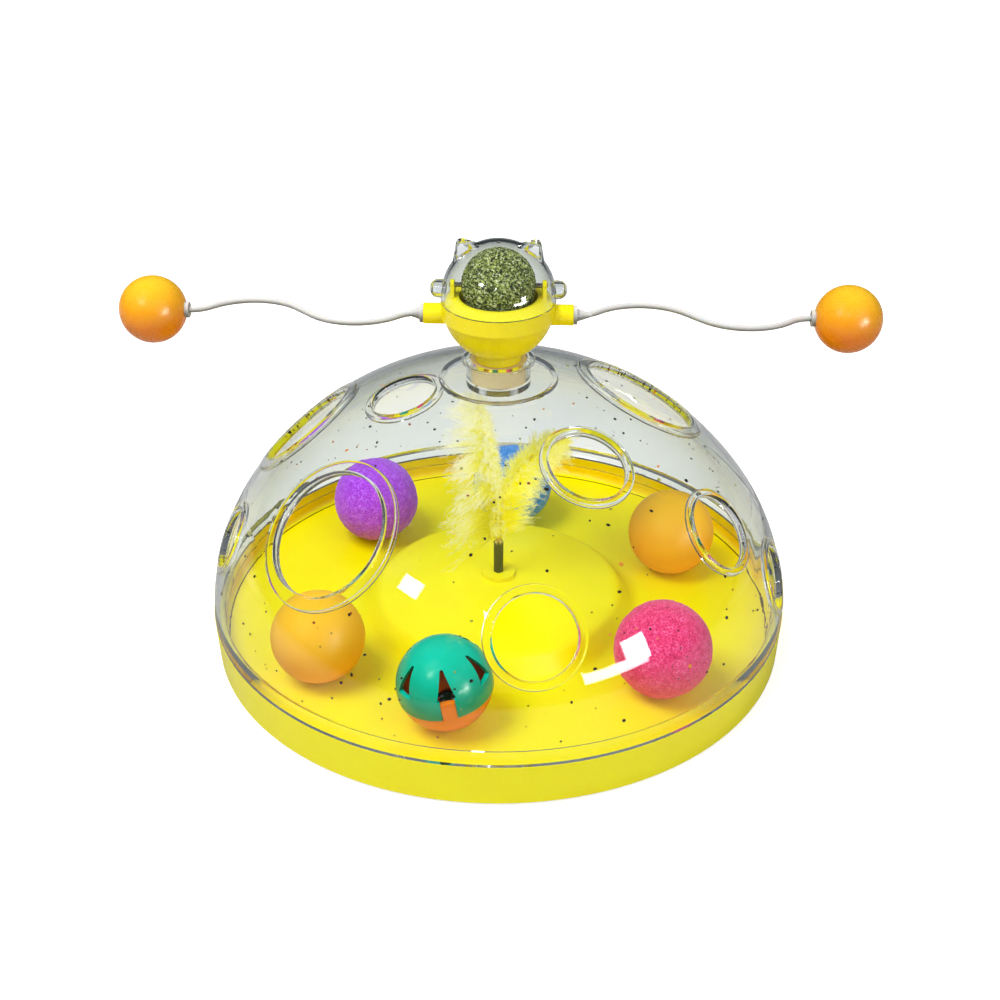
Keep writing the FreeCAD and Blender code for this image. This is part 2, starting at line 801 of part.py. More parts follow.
def make_dome_cover():
    """Cut the paw holes in the dome and set a rounded collar in each."""
    shell = make_dome_shell()
    layer = make_collar_layer()
    bores = []
    collars = []
    for hole in PAW_HOLES:
        angle, climb, bore, ring = (f"{hole}_hole_{part}" for part in ("angle", "climb", "bore", "ring"))
        high = value(climb) > value("dome_bend_angle")
        bend = "dome_top_radius" if high else "dome_low_radius"
        out = f"({bend} * cos({climb}) + {'0' if high else 'dome_side'})"
        up = f"({bend} * sin({climb}) + {'dome_top_centre' if high else 'dome_spring_height'})"
        rim = f"({bore} + {ring})"
        reach = f"({CUTTER_REACH} * (dome_wall + collar_sink + {rim} ^ 2 / (2 * {bend})))"
        spot = {
            "x": f"({out} - {reach} * cos({climb})) * cos({angle})",
            "y": f"({out} - {reach} * cos({climb})) * sin({angle})",
            "z": f"{up} - {reach} * sin({climb})",
            "yaw": angle,
            "pitch": f"90 - {climb}",
        }
        outer = cylinder(f"{hole}_collar_outer", rim, f"{PAIR} * {reach}", **spot)
        inner = cylinder(f"{hole}_collar_inner", bore, f"{PAIR} * {reach}", **spot)
        ring = shared(f"{hole}_collar_ring", cut(f"{hole}_collar_tube", outer, inner), layer)
        collars.append(round_collar(f"{hole}_collar", ring, "collar_round"))
        bores.append(cylinder(f"{hole}_bore", f"{bore} + collar_lap", f"{PAIR} * {reach}", **spot))
    cover = join("dome_cover", cut("dome_with_holes", shell, *bores), *collars)
    cover.Refine = False
    return cover


def make_head_bush():
    """Make the bush that carries the head's spindle in the cup."""
    body = body_of("head_bush")
    spin(
        body,
        "bush_turned",
        [
            ("bush_bore", "bush_base"),
            ("bush_radius", "bush_base"),
            ("bush_radius", "bush_top"),
            ("bush_bore", "bush_top"),
        ],
    )
    return body


def turned_body(name):
    """Start a body that turns with the head."""
    return place(body_of(name), yaw="head_turn")


def make_head_bowl():
    """Make the head's bowl with its spindle, arm sockets and the two lugs for the axle."""
    body = turned_body("head_bowl")
    spin(
        body,
        "bowl_turned",
        [
            ("screw_radius + screw_gap", "spindle_base"),
            ("spindle_radius", "spindle_base"),
            ("spindle_radius", "neck_base"),
            ("neck_radius", "neck_base"),
            ("neck_radius", "neck_top", "head_radius"),
            ("sqrt(head_radius ^ 2 - arm_drop ^ 2)", "arm_height"),
            ("cap_radius", "arm_height"),
            ("cap_radius", "shoulder"),
            ("collar_radius", "shoulder"),
            ("collar_radius - collar_slope_width", "collar_top"),
            ("bowl_radius", "collar_top"),
            ("bowl_radius - bowl_taper", "collar_top - bowl_depth + bowl_floor_slope"),
            ("bowl_floor_radius", "collar_top - bowl_depth"),
            ("0", "collar_top - bowl_depth"),
            ("0", "spindle_base + screw_length + screw_point"),
            ("screw_radius + screw_gap", "spindle_base + screw_length + screw_point"),
        ],
    )
    tube = sketch_on(body, "arm_tube_circle", "YZ_Plane", "cap_radius - arm_tube_sink")
    circle(tube, "arm_tube_radius", "0", "arm_height")
    tube_pad = extrude(body, "Pad", "arm_tube", tube, "arm_tube_end - cap_radius + arm_tube_sink")
    repeat(body, "arm_tubes", [tube_pad], str(PAIR))
    bore = sketch_on(body, "arm_socket_circle", "YZ_Plane", "arm_tube_end")
    circle(bore, "plug_radius + plug_gap", "0", "arm_height")
    bore_cut = extrude(body, "Pocket", "arm_socket", bore, "arm_socket_depth")
    repeat(body, "arm_sockets", [bore_cut], str(PAIR))
    lug = sketch_on(body, "axle_lug_outline", "YZ_Plane", "lug_inner")
    outline(
        lug,
        [
            ("-lug_base_width / 2", "shoulder - collar_height / 2"),
            ("lug_base_width / 2", "shoulder - collar_height / 2"),
            ("lug_base_width / 2", "collar_top"),
            ("lug_tip_radius", "catnip_height", "lug_tip_radius"),
            ("0", "catnip_height + lug_tip_radius", "lug_tip_radius"),
            ("-lug_tip_radius", "catnip_height"),
            ("-lug_base_width / 2", "collar_top"),
        ],
    )
    lug_pad = extrude(body, "Pad", "axle_lug", lug, "lug_wall")
    repeat(body, "axle_lugs", [lug_pad], str(PAIR))
    eye = sketch_on(body, "axle_eye_circle", "YZ_Plane", "lug_inner + lug_wall")
    circle(eye, "axle_radius + axle_gap", "0", "catnip_height")
    eye_cut = extrude(body, "Pocket", "axle_eye", eye, "lug_wall")
    repeat(body, "axle_eyes", [eye_cut], str(PAIR))
    return body


def make_spindle_washer():
    """Make the washer that keeps the spindle in the cup."""
    rim = cylinder("washer_disc", "washer_radius", "washer_height", z="washer_base", yaw="head_turn")
    hole = cylinder("washer_hole", "screw_radius + screw_gap", "washer_height", z="washer_base")
    return cut("spindle_washer", rim, hole)


def make_spindle_screw():
    """Make the screw that holds the washer to the spindle."""
    low = "washer_base - screw_head_height"
    slot_low = f"{low} - screw_slot_depth"
    shank = cylinder("screw_shank", "screw_radius", "screw_length + washer_height", z="washer_base", yaw="head_turn")
    head = cylinder("screw_head", "screw_head_radius", "screw_head_height", z=low, yaw="head_turn")
    slot = box(
        "screw_slot",
        "4 * screw_head_radius",
        "screw_slot_width",
        "2 * screw_slot_depth",
        x="-2 * screw_head_radius",
        y="-screw_slot_width / 2",
        z=slot_low,
    )
    return cut("spindle_screw", join("screw_blank", shank, head), slot)


def make_catnip_ball():
    """Make the pressed herb ball, bored for its axle."""
    blank = sphere("catnip_blank", "catnip_radius", z="catnip_height")
    bore = cylinder(
        "catnip_bore",
        "axle_radius + axle_gap",
        "4 * catnip_radius",
        x="-2 * catnip_radius * cos(head_turn)",
        y="-2 * catnip_radius * sin(head_turn)",
        z="catnip_height",
        yaw="head_turn",
        pitch="90",
    )
    return cut("catnip_ball", blank, bore)


def make_catnip_axle():
    """Make the pin that the herb ball spins on."""
    return cylinder(
        "catnip_axle",
        "axle_radius",
        "2 * axle_end",
        x="-axle_end * cos(head_turn)",
        y="-axle_end * sin(head_turn)",
        z="catnip_height",
        yaw="head_turn",
        pitch="90",
    )


def ear_corner(side, angle, reach):
    """Give the place of an ear's corner from its angle and distance about the cap's centre."""
    return (f"{side} * ({reach}) * cos({angle})", f"cap_centre + ({reach}) * sin({angle})")


def make_ear(name, side):
    """Make one cat ear as a rounded upright triangle whose root lies in the cap's wall."""
    body = body_of(name + "_blank")
    sketch = sketch_on(body, name + "_outline", "XZ_Plane", "-ear_depth / 2")
    root = "cap_radius - ear_root"
    outer = ear_corner(side, "ear_outer_angle", root)
    inner = ear_corner(side, "ear_inner_angle", root)
    tip = ear_corner(side, "ear_tip_angle", "cap_radius + ear_rise")
    outline(sketch, [outer, tip, inner])
    extrude(body, "Pad", name + "_pad", sketch, "ear_depth")
    upright = [
        f"Edge{index}"
        for index, edge in enumerate(body.Tip.Shape.Edges, start=1)
        if abs(edge.CenterOfMass.x - value(tip[0])) < NEAR and abs(edge.CenterOfMass.z - value(tip[1])) < NEAR
    ]
    fillet(body, name + "_tip", upright, "ear_tip_round")
    faces = [
        f"Face{index}"
        for index, face in enumerate(body.Tip.Shape.Faces, start=1)
        if abs(abs(face.CenterOfMass.y) - value("ear_depth / 2")) < NEAR
    ]
    fillet(body, name + "_faces", faces, "ear_round")
    return body


def make_cat_cover():
    """Make the clear cap with its two ears and its two hollow side knobs."""
    body = body_of("cap_shell")
    spin(
        body,
        "cap_turned",
        [
            ("cap_inner", "cap_base"),
            ("cap_radius", "cap_base"),
            ("cap_radius", "cap_centre", "cap_radius"),
            ("0", "cap_centre + cap_radius"),
            ("0", "cap_centre + cap_inner", "-cap_inner"),
            ("cap_inner", "cap_centre"),
        ],
    )
    knob = sketch_on(body, "knob_circle", "YZ_Plane", "cap_inner")
    circle(knob, "knob_radius", "0", "knob_height")
    knob_pad = extrude(body, "Pad", "knob", knob, "knob_end - cap_inner")
    repeat(body, "knobs", [knob_pad], str(PAIR))
    round_ends(body, "knob_rounds", "knob_round", "knob_radius", "knob_end")
    hollow = sketch_on(body, "knob_hollow_circle", "YZ_Plane", "knob_end - knob_wall")
    circle(hollow, "knob_radius - knob_wall", "0", "knob_height")
    hollow_cut = extrude(body, "Pocket", "knob_hollow", hollow, "knob_end - knob_wall - cap_inner + cap_wall")
    repeat(body, "knob_hollows", [hollow_cut], str(PAIR))
    ears = [make_ear("ear_right", "1"), make_ear("ear_left", "-1")]
    cap = join("cap_blank", body, *ears)
    clear = sphere("cap_space", "cap_inner", z="cap_centre")
    turned = cut("cat_cover", cap, clear)
    return place(turned, yaw="head_turn")


def round_ends(body, name, radius, ring, reach):
    """Round the upright circular edges of a given radius that lie a given reach from the middle."""
    picked = [
        f"Edge{index}"
        for index, edge in enumerate(body.Tip.Shape.Edges, start=1)
        if is_circle(edge)
        and abs(edge.Curve.Radius - value(ring)) < NEAR
        and abs(abs(edge.Curve.Center.x) - value(reach)) < NEAR
    ]
    fillet(body, name, picked, radius)


def make_arm(name, turn):
    """Make one wavy arm: plug, flange and flare at the head, an S in the level plane, flange and peg."""
    body = place(body_of(name), z="arm_height", yaw=turn)
    spin(
        body,
        name + "_plug",
        [
            ("plug_start", "0"),
            ("plug_start", "plug_radius"),
            ("arm_flange_start", "plug_radius"),
            ("arm_flange_start", "arm_flange_radius"),
            ("arm_flange_end", "arm_flange_radius"),
            ("arm_flange_end", "flare_radius"),
            ("arm_flange_end + flare_length", "flare_tip_radius"),
            ("arm_flange_end + flare_length", "0"),
        ],
        "XY_Plane",
        "H_Axis",
    )
    cross_out = "wave_radius * sin(cross_angle)"
    cross_height = "wave_height - wave_radius * (1 - cos(cross_angle))"
    wave = sketch_on(body, name + "_wave", "XY_Plane")
    outline(
        wave,
        [
            ("arm_flange_end", "0", "near_radius"),
            (
                "arm_flange_end + near_radius * sin(near_angle)",
                "near_radius * (1 - cos(near_angle))",
                "-wave_radius",
            ),
            (f"near_crest + {cross_out}", cross_height),
            (f"far_crest - {cross_out}", f"-({cross_height})", "wave_radius"),
            (
                "rod_end - far_radius * sin(far_angle)",
                "-far_radius * (1 - cos(far_angle))",
                "-far_radius",
            ),
            ("rod_end", "0"),
        ],
        closed=False,
    )
    section = sketch_on(body, name + "_section", "YZ_Plane", "arm_flange_end")
    circle(section, "rod_radius")
    doc.recompute()
    rod = body.newObject("PartDesign::AdditivePipe", name + "_rod")
    rod.Profile = section
    rod.Spine = (wave, [f"Edge{number}" for number in range(1, len(wave.Shape.Edges) + 1)])
    doc.recompute()
    spin(
        body,
        name + "_peg",
        [
            ("rod_end", "0"),
            ("rod_end", "end_flange_radius"),
            ("arm_end", "end_flange_radius"),
            ("arm_end", "peg_radius"),
            ("arm_end + peg_length", "peg_radius"),
            ("arm_end + peg_length", "0"),
        ],
        "XY_Plane",
        "H_Axis",
    )
    return body


def make_arm_ball(name, turn):
    """Make the ball on an arm's end, bored for the peg and recessed for the flange."""
    body = place(body_of(name), z="arm_height", yaw=turn)
    rise = "sqrt(arm_ball_radius ^ 2 - recess_radius ^ 2)"
    spin(
        body,
        name + "_turned",
        [
            (f"arm_ball_centre - {rise}", "recess_radius", "-arm_ball_radius"),
            ("arm_ball_centre", "arm_ball_radius", "-arm_ball_radius"),
            ("arm_ball_centre + arm_ball_radius", "0"),
            ("arm_end + peg_length + peg_gap", "0"),
            ("arm_end + peg_length + peg_gap", "peg_radius + peg_gap"),
            ("arm_end", "peg_radius + peg_gap"),
            ("arm_end", "recess_radius"),
        ],
        "XY_Plane",
        "H_Axis",
    )
    return body


def on_track(ball):
    """Give the place of a ball on the ring track."""
    return {
        "x": f"{ball}_track * cos({ball}_angle)",
        "y": f"{ball}_track * sin({ball}_angle)",
        "z": f"floor_height + ball_gap + {ball}_radius",
    }


def make_hollow_ball(name, ball):
    """Make a hollow ball that was welded from two half shells."""
    spot = on_track(ball)
    skin = sphere(name + "_skin", f"{ball}_radius", **spot)
    space = sphere(name + "_space", f"{ball}_radius - hollow_ball_wall", **spot)
    return cut(name, skin, space)


def make_foam_ball(name, ball):
    """Make a solid foam ball."""
    return sphere(name, f"{ball}_radius", **on_track(ball))


def rattle_body(name):
    """Start a body that lies tilted at the rattle ball's centre."""
    return place(body_of(name), **on_track("rattle"), yaw="rattle_turn", pitch="rattle_tilt")


def make_bell_ball_upper():
    """Make the rattle ball's upper shell with its triangular windows and snap notches."""
    body = rattle_body("bell_ball_upper")
    spin(
        body,
        "upper_turned",
        [
            ("rattle_mouth", "rattle_parting"),
            ("sqrt(rattle_radius ^ 2 - rattle_parting ^ 2)", "rattle_parting", "rattle_radius"),
            ("rattle_radius", "0", "rattle_radius"),
            ("0", "rattle_radius"),
            ("0", "rattle_inner", "-rattle_inner"),
            ("rattle_inner", "0", "-rattle_inner"),
        ],
    )
    window = sketch_on(body, "window_outline", "XZ_Plane")
    outline(
        window,
        [
            ("-window_width / 2", "window_base"),
            ("window_width / 2", "window_base"),
            ("window_tip / 2", "window_base + window_height", "window_round"),
            ("-window_tip / 2", "window_base + window_height"),
        ],
    )
    window_cut = extrude(body, "Pocket", "window", window, "2 * rattle_radius", True)
    repeat(body, "windows", [window_cut], "window_count")
    notch = sketch_on(body, "snap_notch_outline", "XZ_Plane")
    half = "tab_width / 2 + tab_gap"
    outline(
        notch,
        [
            (f"-({half})", "rattle_parting - rattle_seam"),
            (half, "rattle_parting - rattle_seam"),
            (half, "window_base + window_round"),
            (f"-({half})", "window_base + window_round"),
        ],
    )
    notch_cut = extrude(body, "Pocket", "snap_notch", notch, "2 * rattle_radius", True)
    repeat(body, "snap_notches", [notch_cut], "tab_count")
    return body


def make_bell_ball_lower():
    """Make the rattle ball's lower shell with its spigot and the three snap tabs."""
    body = rattle_body("bell_ball_lower")
    spin(
        body,
        "lower_turned",
        [
            ("0", "-rattle_low_radius", "rattle_low_radius"),
            ("sqrt(rattle_low_radius ^ 2 - rattle_low_edge ^ 2)", "rattle_low_edge"),
            ("rattle_spigot_radius", "rattle_low_edge"),
            ("rattle_spigot_radius", "rattle_spigot_top"),
            ("rattle_spigot_inner", "rattle_spigot_top"),
            ("rattle_spigot_inner", "-sqrt(rattle_low_inner ^ 2 - rattle_spigot_inner ^ 2)", "-rattle_low_inner"),
            ("0", "-rattle_low_inner"),
        ],
    )
    tab = sketch_on(body, "tab_outline", "XZ_Plane", "rattle_spigot_inner + rattle_spigot_wall / 2")
    outline(
        tab,
        [
            ("-tab_width / 2", "rattle_low_edge - rattle_seam"),
            ("tab_width / 2", "rattle_low_edge - rattle_seam"),
            ("tab_width / 2", "window_base - tab_drop"),
            ("-tab_width / 2", "window_base - tab_drop"),
        ],
    )
    reach = "rattle_radius - tab_inset - rattle_spigot_inner - rattle_spigot_wall / 2"
    tab_pad = extrude(body, "Pad", "snap_tab", tab, reach)
    repeat(body, "snap_tabs", [tab_pad], "tab_count")
    return body


def in_rattle(height):
    """Give the place of a point on the rattle ball's tilted axis."""
    spot = on_track("rattle")
    return {
        "x": f"{spot['x']} + ({height}) * sin(rattle_tilt) * cos(rattle_turn)",
        "y": f"{spot['y']} + ({height}) * sin(rattle_tilt) * sin(rattle_turn)",
        "z": f"{spot['z']} + ({height}) * cos(rattle_tilt)",
    }


def make_jingle_bell():
    """Make the round bell with its slot between two holes."""
    spot = in_rattle("jingle_height")
    skin = sphere("jingle_skin", "jingle_radius", **spot)
    space = sphere("jingle_space", "jingle_radius - jingle_wall", **spot)
    slot = box(
        "jingle_slot_cut",
        "2 * jingle_radius",
        "jingle_slot",
        "2 * jingle_radius",
        x=f"{spot['x']} - jingle_radius",
        y=f"{spot['y']} - jingle_slot / 2",
        z=f"{spot['z']} + jingle_slot_rise",
    )
    holes = [
        cylinder(
            f"jingle_hole_{number}",
            "jingle_hole",
            "jingle_radius",
            x=f"{spot['x']} {sign} jingle_hole_out",
            y=spot["y"],
            z=f"{spot['z']} + jingle_hole_rise",
        )
        for number, sign in enumerate("-+", start=1)
    ]
    return cut("jingle_bell", skin, space, slot, *holes)


def make_bell_pellet():
    """Make the pellet in the bell."""
    return sphere("bell_pellet", "pellet_radius", **in_rattle("pellet_height"))


def make_feather_sleeve():
    """Make the ferrule that stands in the mound's socket and takes the quills."""
    rod = cylinder("sleeve_rod", "sleeve_radius", "sleeve_length", z="sleeve_base")
    bore = cylinder("sleeve_bore_cut", "sleeve_bore", "2 * sleeve_bore_depth", z="sleeve_top - sleeve_bore_depth")
    return cut("feather_sleeve", rod, bore)


def make_quill(name, side, tip_out, tip_height, radius):
    """Make one quill: straight out of the sleeve, then bent outwards in one arc that is tangent to the stem."""
    body = body_of(name)
    root = f"{side} * quill_spread"
    out = f"({tip_out} - quill_spread)"
    rise = f"({tip_height} - quill_bend)"
    bend = f"({out} ^ 2 + {rise} ^ 2) / (2 * {out})"
    path = sketch_on(body, name + "_path", "XZ_Plane")
    outline(
        path,
        [
            (root, "quill_base"),
            (root, "quill_bend", f"-({side}) * ({bend})"),
            (f"{side} * ({tip_out})", tip_height),
        ],
        closed=False,
    )
    section = sketch_on(body, name + "_section", "XY_Plane", "quill_base")
    circle(section, radius, root)
    doc.recompute()
    rod = body.newObject("PartDesign::AdditivePipe", name + "_rod")
    rod.Profile = section
    rod.Spine = (path, ["Edge1", "Edge2"])
    return body


def make_feather_quills():
    """Make the two quills of the tuft."""
    left = make_quill("quill_left", "-1", "left_tip_out", "left_tip_height", "quill_radius")
    right = make_quill("quill_right", "1", "right_tip_out", "right_tip_height", "quill_radius")
    quills = doc.addObject("Part::Compound", "feather_quills")
    quills.Links = [left, right]
    return quills


def make_plume(side_name, side):
    """Make the plain solid of one plume, cut clear of its quill."""
    blank = doc.addObject("Part::Ellipsoid", f"{side_name}_plume_blank")
    bind(
        blank,
        Radius1=f"{side_name}_plume_length / 2",
        Radius2=f"{side_name}_plume_width / 2",
        Radius3=f"{side_name}_plume_depth / 2",
    )
    place(
        blank,
        x=f"{side} * {side_name}_plume_out",
        z=f"{side_name}_plume_middle",
        pitch=f"{side_name}_plume_lean",
    )
    channel = make_quill(
        f"{side_name}_quill_channel",
        side,
        f"{side_name}_tip_out",
        f"{side_name}_tip_height",
        "quill_radius + quill_gap",
    )
    return cut(f"feather_plume_{side_name}", blank, channel)


def make_all():
    """Make every piece of the toy."""
    pieces = [make_base_tray()]
    pieces += make_rubber_feet()
    pieces += [make_dome_cover(), make_head_bush(), make_head_bowl()]
    pieces += [make_spindle_washer(), make_spindle_screw(), make_catnip_ball(), make_catnip_axle()]
    pieces.append(make_cat_cover())
    for side, turn in (("right", "head_turn"), ("left", "head_turn + 180")):
        pieces.append(make_arm(f"arm_{side}", turn))
        pieces.append(make_arm_ball(f"arm_ball_{side}", turn))
    for side in ("left", "right"):
        pieces.append(make_hollow_ball(f"orange_ball_{side}", f"orange_{side}"))
    for colour in ("purple", "pink", "blue"):
        pieces.append(make_foam_ball(f"foam_ball_{colour}", colour))
    pieces += [make_bell_ball_upper(), make_bell_ball_lower(), make_jingle_bell(), make_bell_pellet()]
    pieces += [make_feather_sleeve(), make_feather_quills(), make_plume("left", "-1"), make_plume("right", "1")]
    return pieces


def check(pieces):
    """Stop if any object failed to compute or any piece is empty or not valid."""
    doc.recompute()
    faults = [item.Name for item in doc.Objects if {"Invalid", "Error"} & set(item.State)]
    faults += [piece.Label for piece in pieces if piece.Shape.isNull() or not piece.Shape.isValid()]
    if faults:
        raise RuntimeError("faulty: " + ", ".join(faults))


def write(pieces):
    """Write each piece to its own file and report its solids and volume."""
    os.makedirs("parts", exist_ok=True)
    for piece in pieces:
        shape = piece.Shape
        shape.exportStep(f"parts/{piece.Label}.step")
        print(f"{piece.Label}: {len(shape.Solids)} solid(s), {shape.Volume / 1000:.2f} cm3")


fill_sheets()
toy = make_all()
check(toy)
write(toy)
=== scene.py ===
"""Finishes, soft pieces, light and camera of a cat track ball toy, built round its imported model.

Lengths are metres in the model's own frame: +Z up, +X to the viewer's right, and the toy is seen along +Y.
"""

import logging
import math
from collections.abc import Callable
from dataclasses import dataclass
from enum import Enum
from random import Random

import bmesh
import bpy
from bmesh.types import BMesh
from bpy.types import Material, Mesh, Node, NodeSocket, Object, World
from mathutils import Matrix, Vector, noise
from mathutils.bvhtree import BVHTree


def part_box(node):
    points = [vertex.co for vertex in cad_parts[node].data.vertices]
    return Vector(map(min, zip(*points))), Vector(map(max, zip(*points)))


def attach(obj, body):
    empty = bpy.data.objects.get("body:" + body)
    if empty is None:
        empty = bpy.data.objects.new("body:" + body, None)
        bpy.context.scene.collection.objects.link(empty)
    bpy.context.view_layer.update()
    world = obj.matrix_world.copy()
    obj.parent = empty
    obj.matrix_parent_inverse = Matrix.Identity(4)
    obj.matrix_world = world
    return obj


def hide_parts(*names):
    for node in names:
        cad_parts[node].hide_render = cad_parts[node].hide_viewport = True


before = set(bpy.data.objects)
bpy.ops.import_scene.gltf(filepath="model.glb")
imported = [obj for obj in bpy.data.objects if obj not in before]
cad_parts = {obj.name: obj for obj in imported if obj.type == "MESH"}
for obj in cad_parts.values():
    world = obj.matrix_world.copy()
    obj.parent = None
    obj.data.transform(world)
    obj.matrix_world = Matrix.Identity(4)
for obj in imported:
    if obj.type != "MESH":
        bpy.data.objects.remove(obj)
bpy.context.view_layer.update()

MM = 0.001
# A ray's count of mirrorings is above this from the first one on.
MIRRORED = 0.5
LOG = logging.getLogger("cat_track_ball_toy")
Spot = tuple[float, float, float]


def linear(code: str) -> tuple[float, float, float, float]:
    """Turn a hex sRGB colour into a linear one.

    Args:
        code: The colour as six hex digits after a hash.

    Returns:
        Red, green and blue, each from 0 to 1, and full opacity.
    """
    parts = [int(code[start : start + 2], 16) / 255 for start in (1, 3, 5)]
    toe, slope, offset, power = 0.04045, 12.92, 0.055, 2.4
    red, green, blue = (
        part / slope if part <= toe else ((part + offset) / (1 + offset)) ** power for part in parts
    )
    return red, green, blue, 1.0


def per_metre(size_mm: float) -> float:
    """Give the texture scale at which a feature is size_mm across."""
    return 1.0 / (size_mm * MM)


class Wiring:
    """The node tree of a material or a world, emptied, and the coordinates that its patterns follow."""

    def __init__(self, owner: Material | World, space: str = "Object") -> None:
        """Empty the tree.

        Args:
            owner: The material or the world.
            space: The kind of coordinates.
        """
        owner.use_nodes = True
        self.tree = owner.node_tree
        self.tree.nodes.clear()
        self.coords = self.add("TexCoord").outputs[space]

    def add(
        self,
        kind: str,
        inputs: dict | None = None,
        stops: tuple[tuple[float, str], ...] = (),
        **settings: object,
    ) -> Node:
        """Add one node, with its settings, its links and, for a colour ramp, its stops.

        Args:
            kind: The node's type, without the word ShaderNode before it.
            inputs: What each input, by name or number, is set to or linked from. A node stands for its
                first output.
            stops: Places and hex colours of a colour ramp.
            **settings: Properties of the node.

        Returns:
            The new node.
        """
        node = self.tree.nodes.new("ShaderNode" + kind)
        for name, setting in settings.items():
            setattr(node, name, setting)
        for name, given in (inputs or {}).items():
            if isinstance(given, Node):
                given = given.outputs[0]
            if isinstance(given, NodeSocket):
                self.tree.links.new(given, node.inputs[name])
            else:
                node.inputs[name].default_value = given
        for index, (spot, code) in enumerate(stops):
            elements = node.color_ramp.elements
            element = elements[index] if index < 2 else elements.new(spot)
            element.position = spot
            element.color = linear(code)
        return node


@dataclass(frozen=True)
class Finish:
    """A finish, named for the real material and the way its surface was made."""

    name: str

    def material(self) -> Material:
        """Build the material, or give the one that was built before.

        Returns:
            The material.
        """
        found = bpy.data.materials.get(self.name)
        if found:
            return found
        made = bpy.data.materials.new(self.name)
        tree = Wiring(made)
        tree.add("OutputMaterial", {"Surface": self.shade(tree)})
        return made

    def shade(self, tree: Wiring) -> Node:
        """Build the shader and give its node."""
        raise NotImplementedError


@dataclass(frozen=True)
class MouldedPlastic(Finish):
    """Injection-moulded plastic: cloudy pigment, slow waves from the mould and a fine grain.

    The waves bend long highlights, the grain breaks their edges, and a little scattering under the skin
    softens the shadow line.
    """

    colour: str
    deep: str
    roughness: float
    ior: float = 1.54
    cloud_mm: float = 22.0
    wave_mm: float = 16.0
    wave_depth_mm: float = 0.03
    # The true grain is finer than a pixel, so it is drawn at about one millimetre.
    grain_mm: float = 1.1
    grain_depth_mm: float = 0.004
    uneven: float = 0.25
    scatter: float = 0.0
    scatter_mm: float = 2.0
    # Painted shade on faces that look down: redder for light that wanders through the wall, darker where it
    # can't.
    under: str | None = None

    def shade(self, tree: Wiring) -> Node:
        """Build the shader.

        Args:
            tree: The material's wiring.

        Returns:
            The shader's node.
        """
        cloud, grain, wave = (
            tree.add("TexNoise", {"Vector": tree.coords, "Scale": per_metre(size), "Detail": detail})
            for size, detail in ((self.cloud_mm, 4.0), (self.grain_mm, 2.0), (self.wave_mm, 1.0))
        )
        pigment = tree.add("ValToRGB", {"Fac": cloud}, stops=((0.3, self.deep), (0.62, self.colour)))
        colour = self.paint_shade(tree, pigment.outputs["Color"])
        low, high = self.roughness * (1 - self.uneven), self.roughness * (1 + self.uneven)
        polish = tree.add("MapRange", {"Value": grain, "To Min": low, "To Max": high})
        waves = tree.add("Bump", {"Height": wave, "Distance": self.wave_depth_mm * MM})
        skin = tree.add("Bump", {"Height": grain, "Distance": self.grain_depth_mm * MM, "Normal": waves})
        return tree.add(
            "BsdfPrincipled",
            {
                "Base Color": colour,
                "Roughness": polish,
                "IOR": self.ior,
                "Normal": skin,
                "Subsurface Weight": self.scatter,
                "Subsurface Radius": (1.0, 0.55, 0.25),
                "Subsurface Scale": self.scatter_mm * MM,
            },
        )

    def paint_shade(self, tree: Wiring, colour: NodeSocket) -> NodeSocket:
        """Paint shade: tint the colour more, the further a face looks down.

        Args:
            tree: The material's wiring.
            colour: The pigment's colour.

        Returns:
            The tinted colour.
        """
        if not self.under:
            return colour
        facing = tree.add("NewGeometry")
        axes = tree.add("SeparateXYZ", {"Vector": facing.outputs["Normal"]})
        lift = tree.add("MapRange", {"Value": axes.outputs["Z"], "From Min": -0.25, "From Max": 0.95})
        # Painted shade: the tint grows as the face turns down.
        tint = tree.add("ValToRGB", {"Fac": lift}, stops=((0.0, self.under), (1.0, "#FFFFFF")))
        mixed = tree.add("Mix", {0: 1.0, 6: colour, 7: tint}, data_type="RGBA", blend_type="MULTIPLY")
        return mixed.outputs[2]


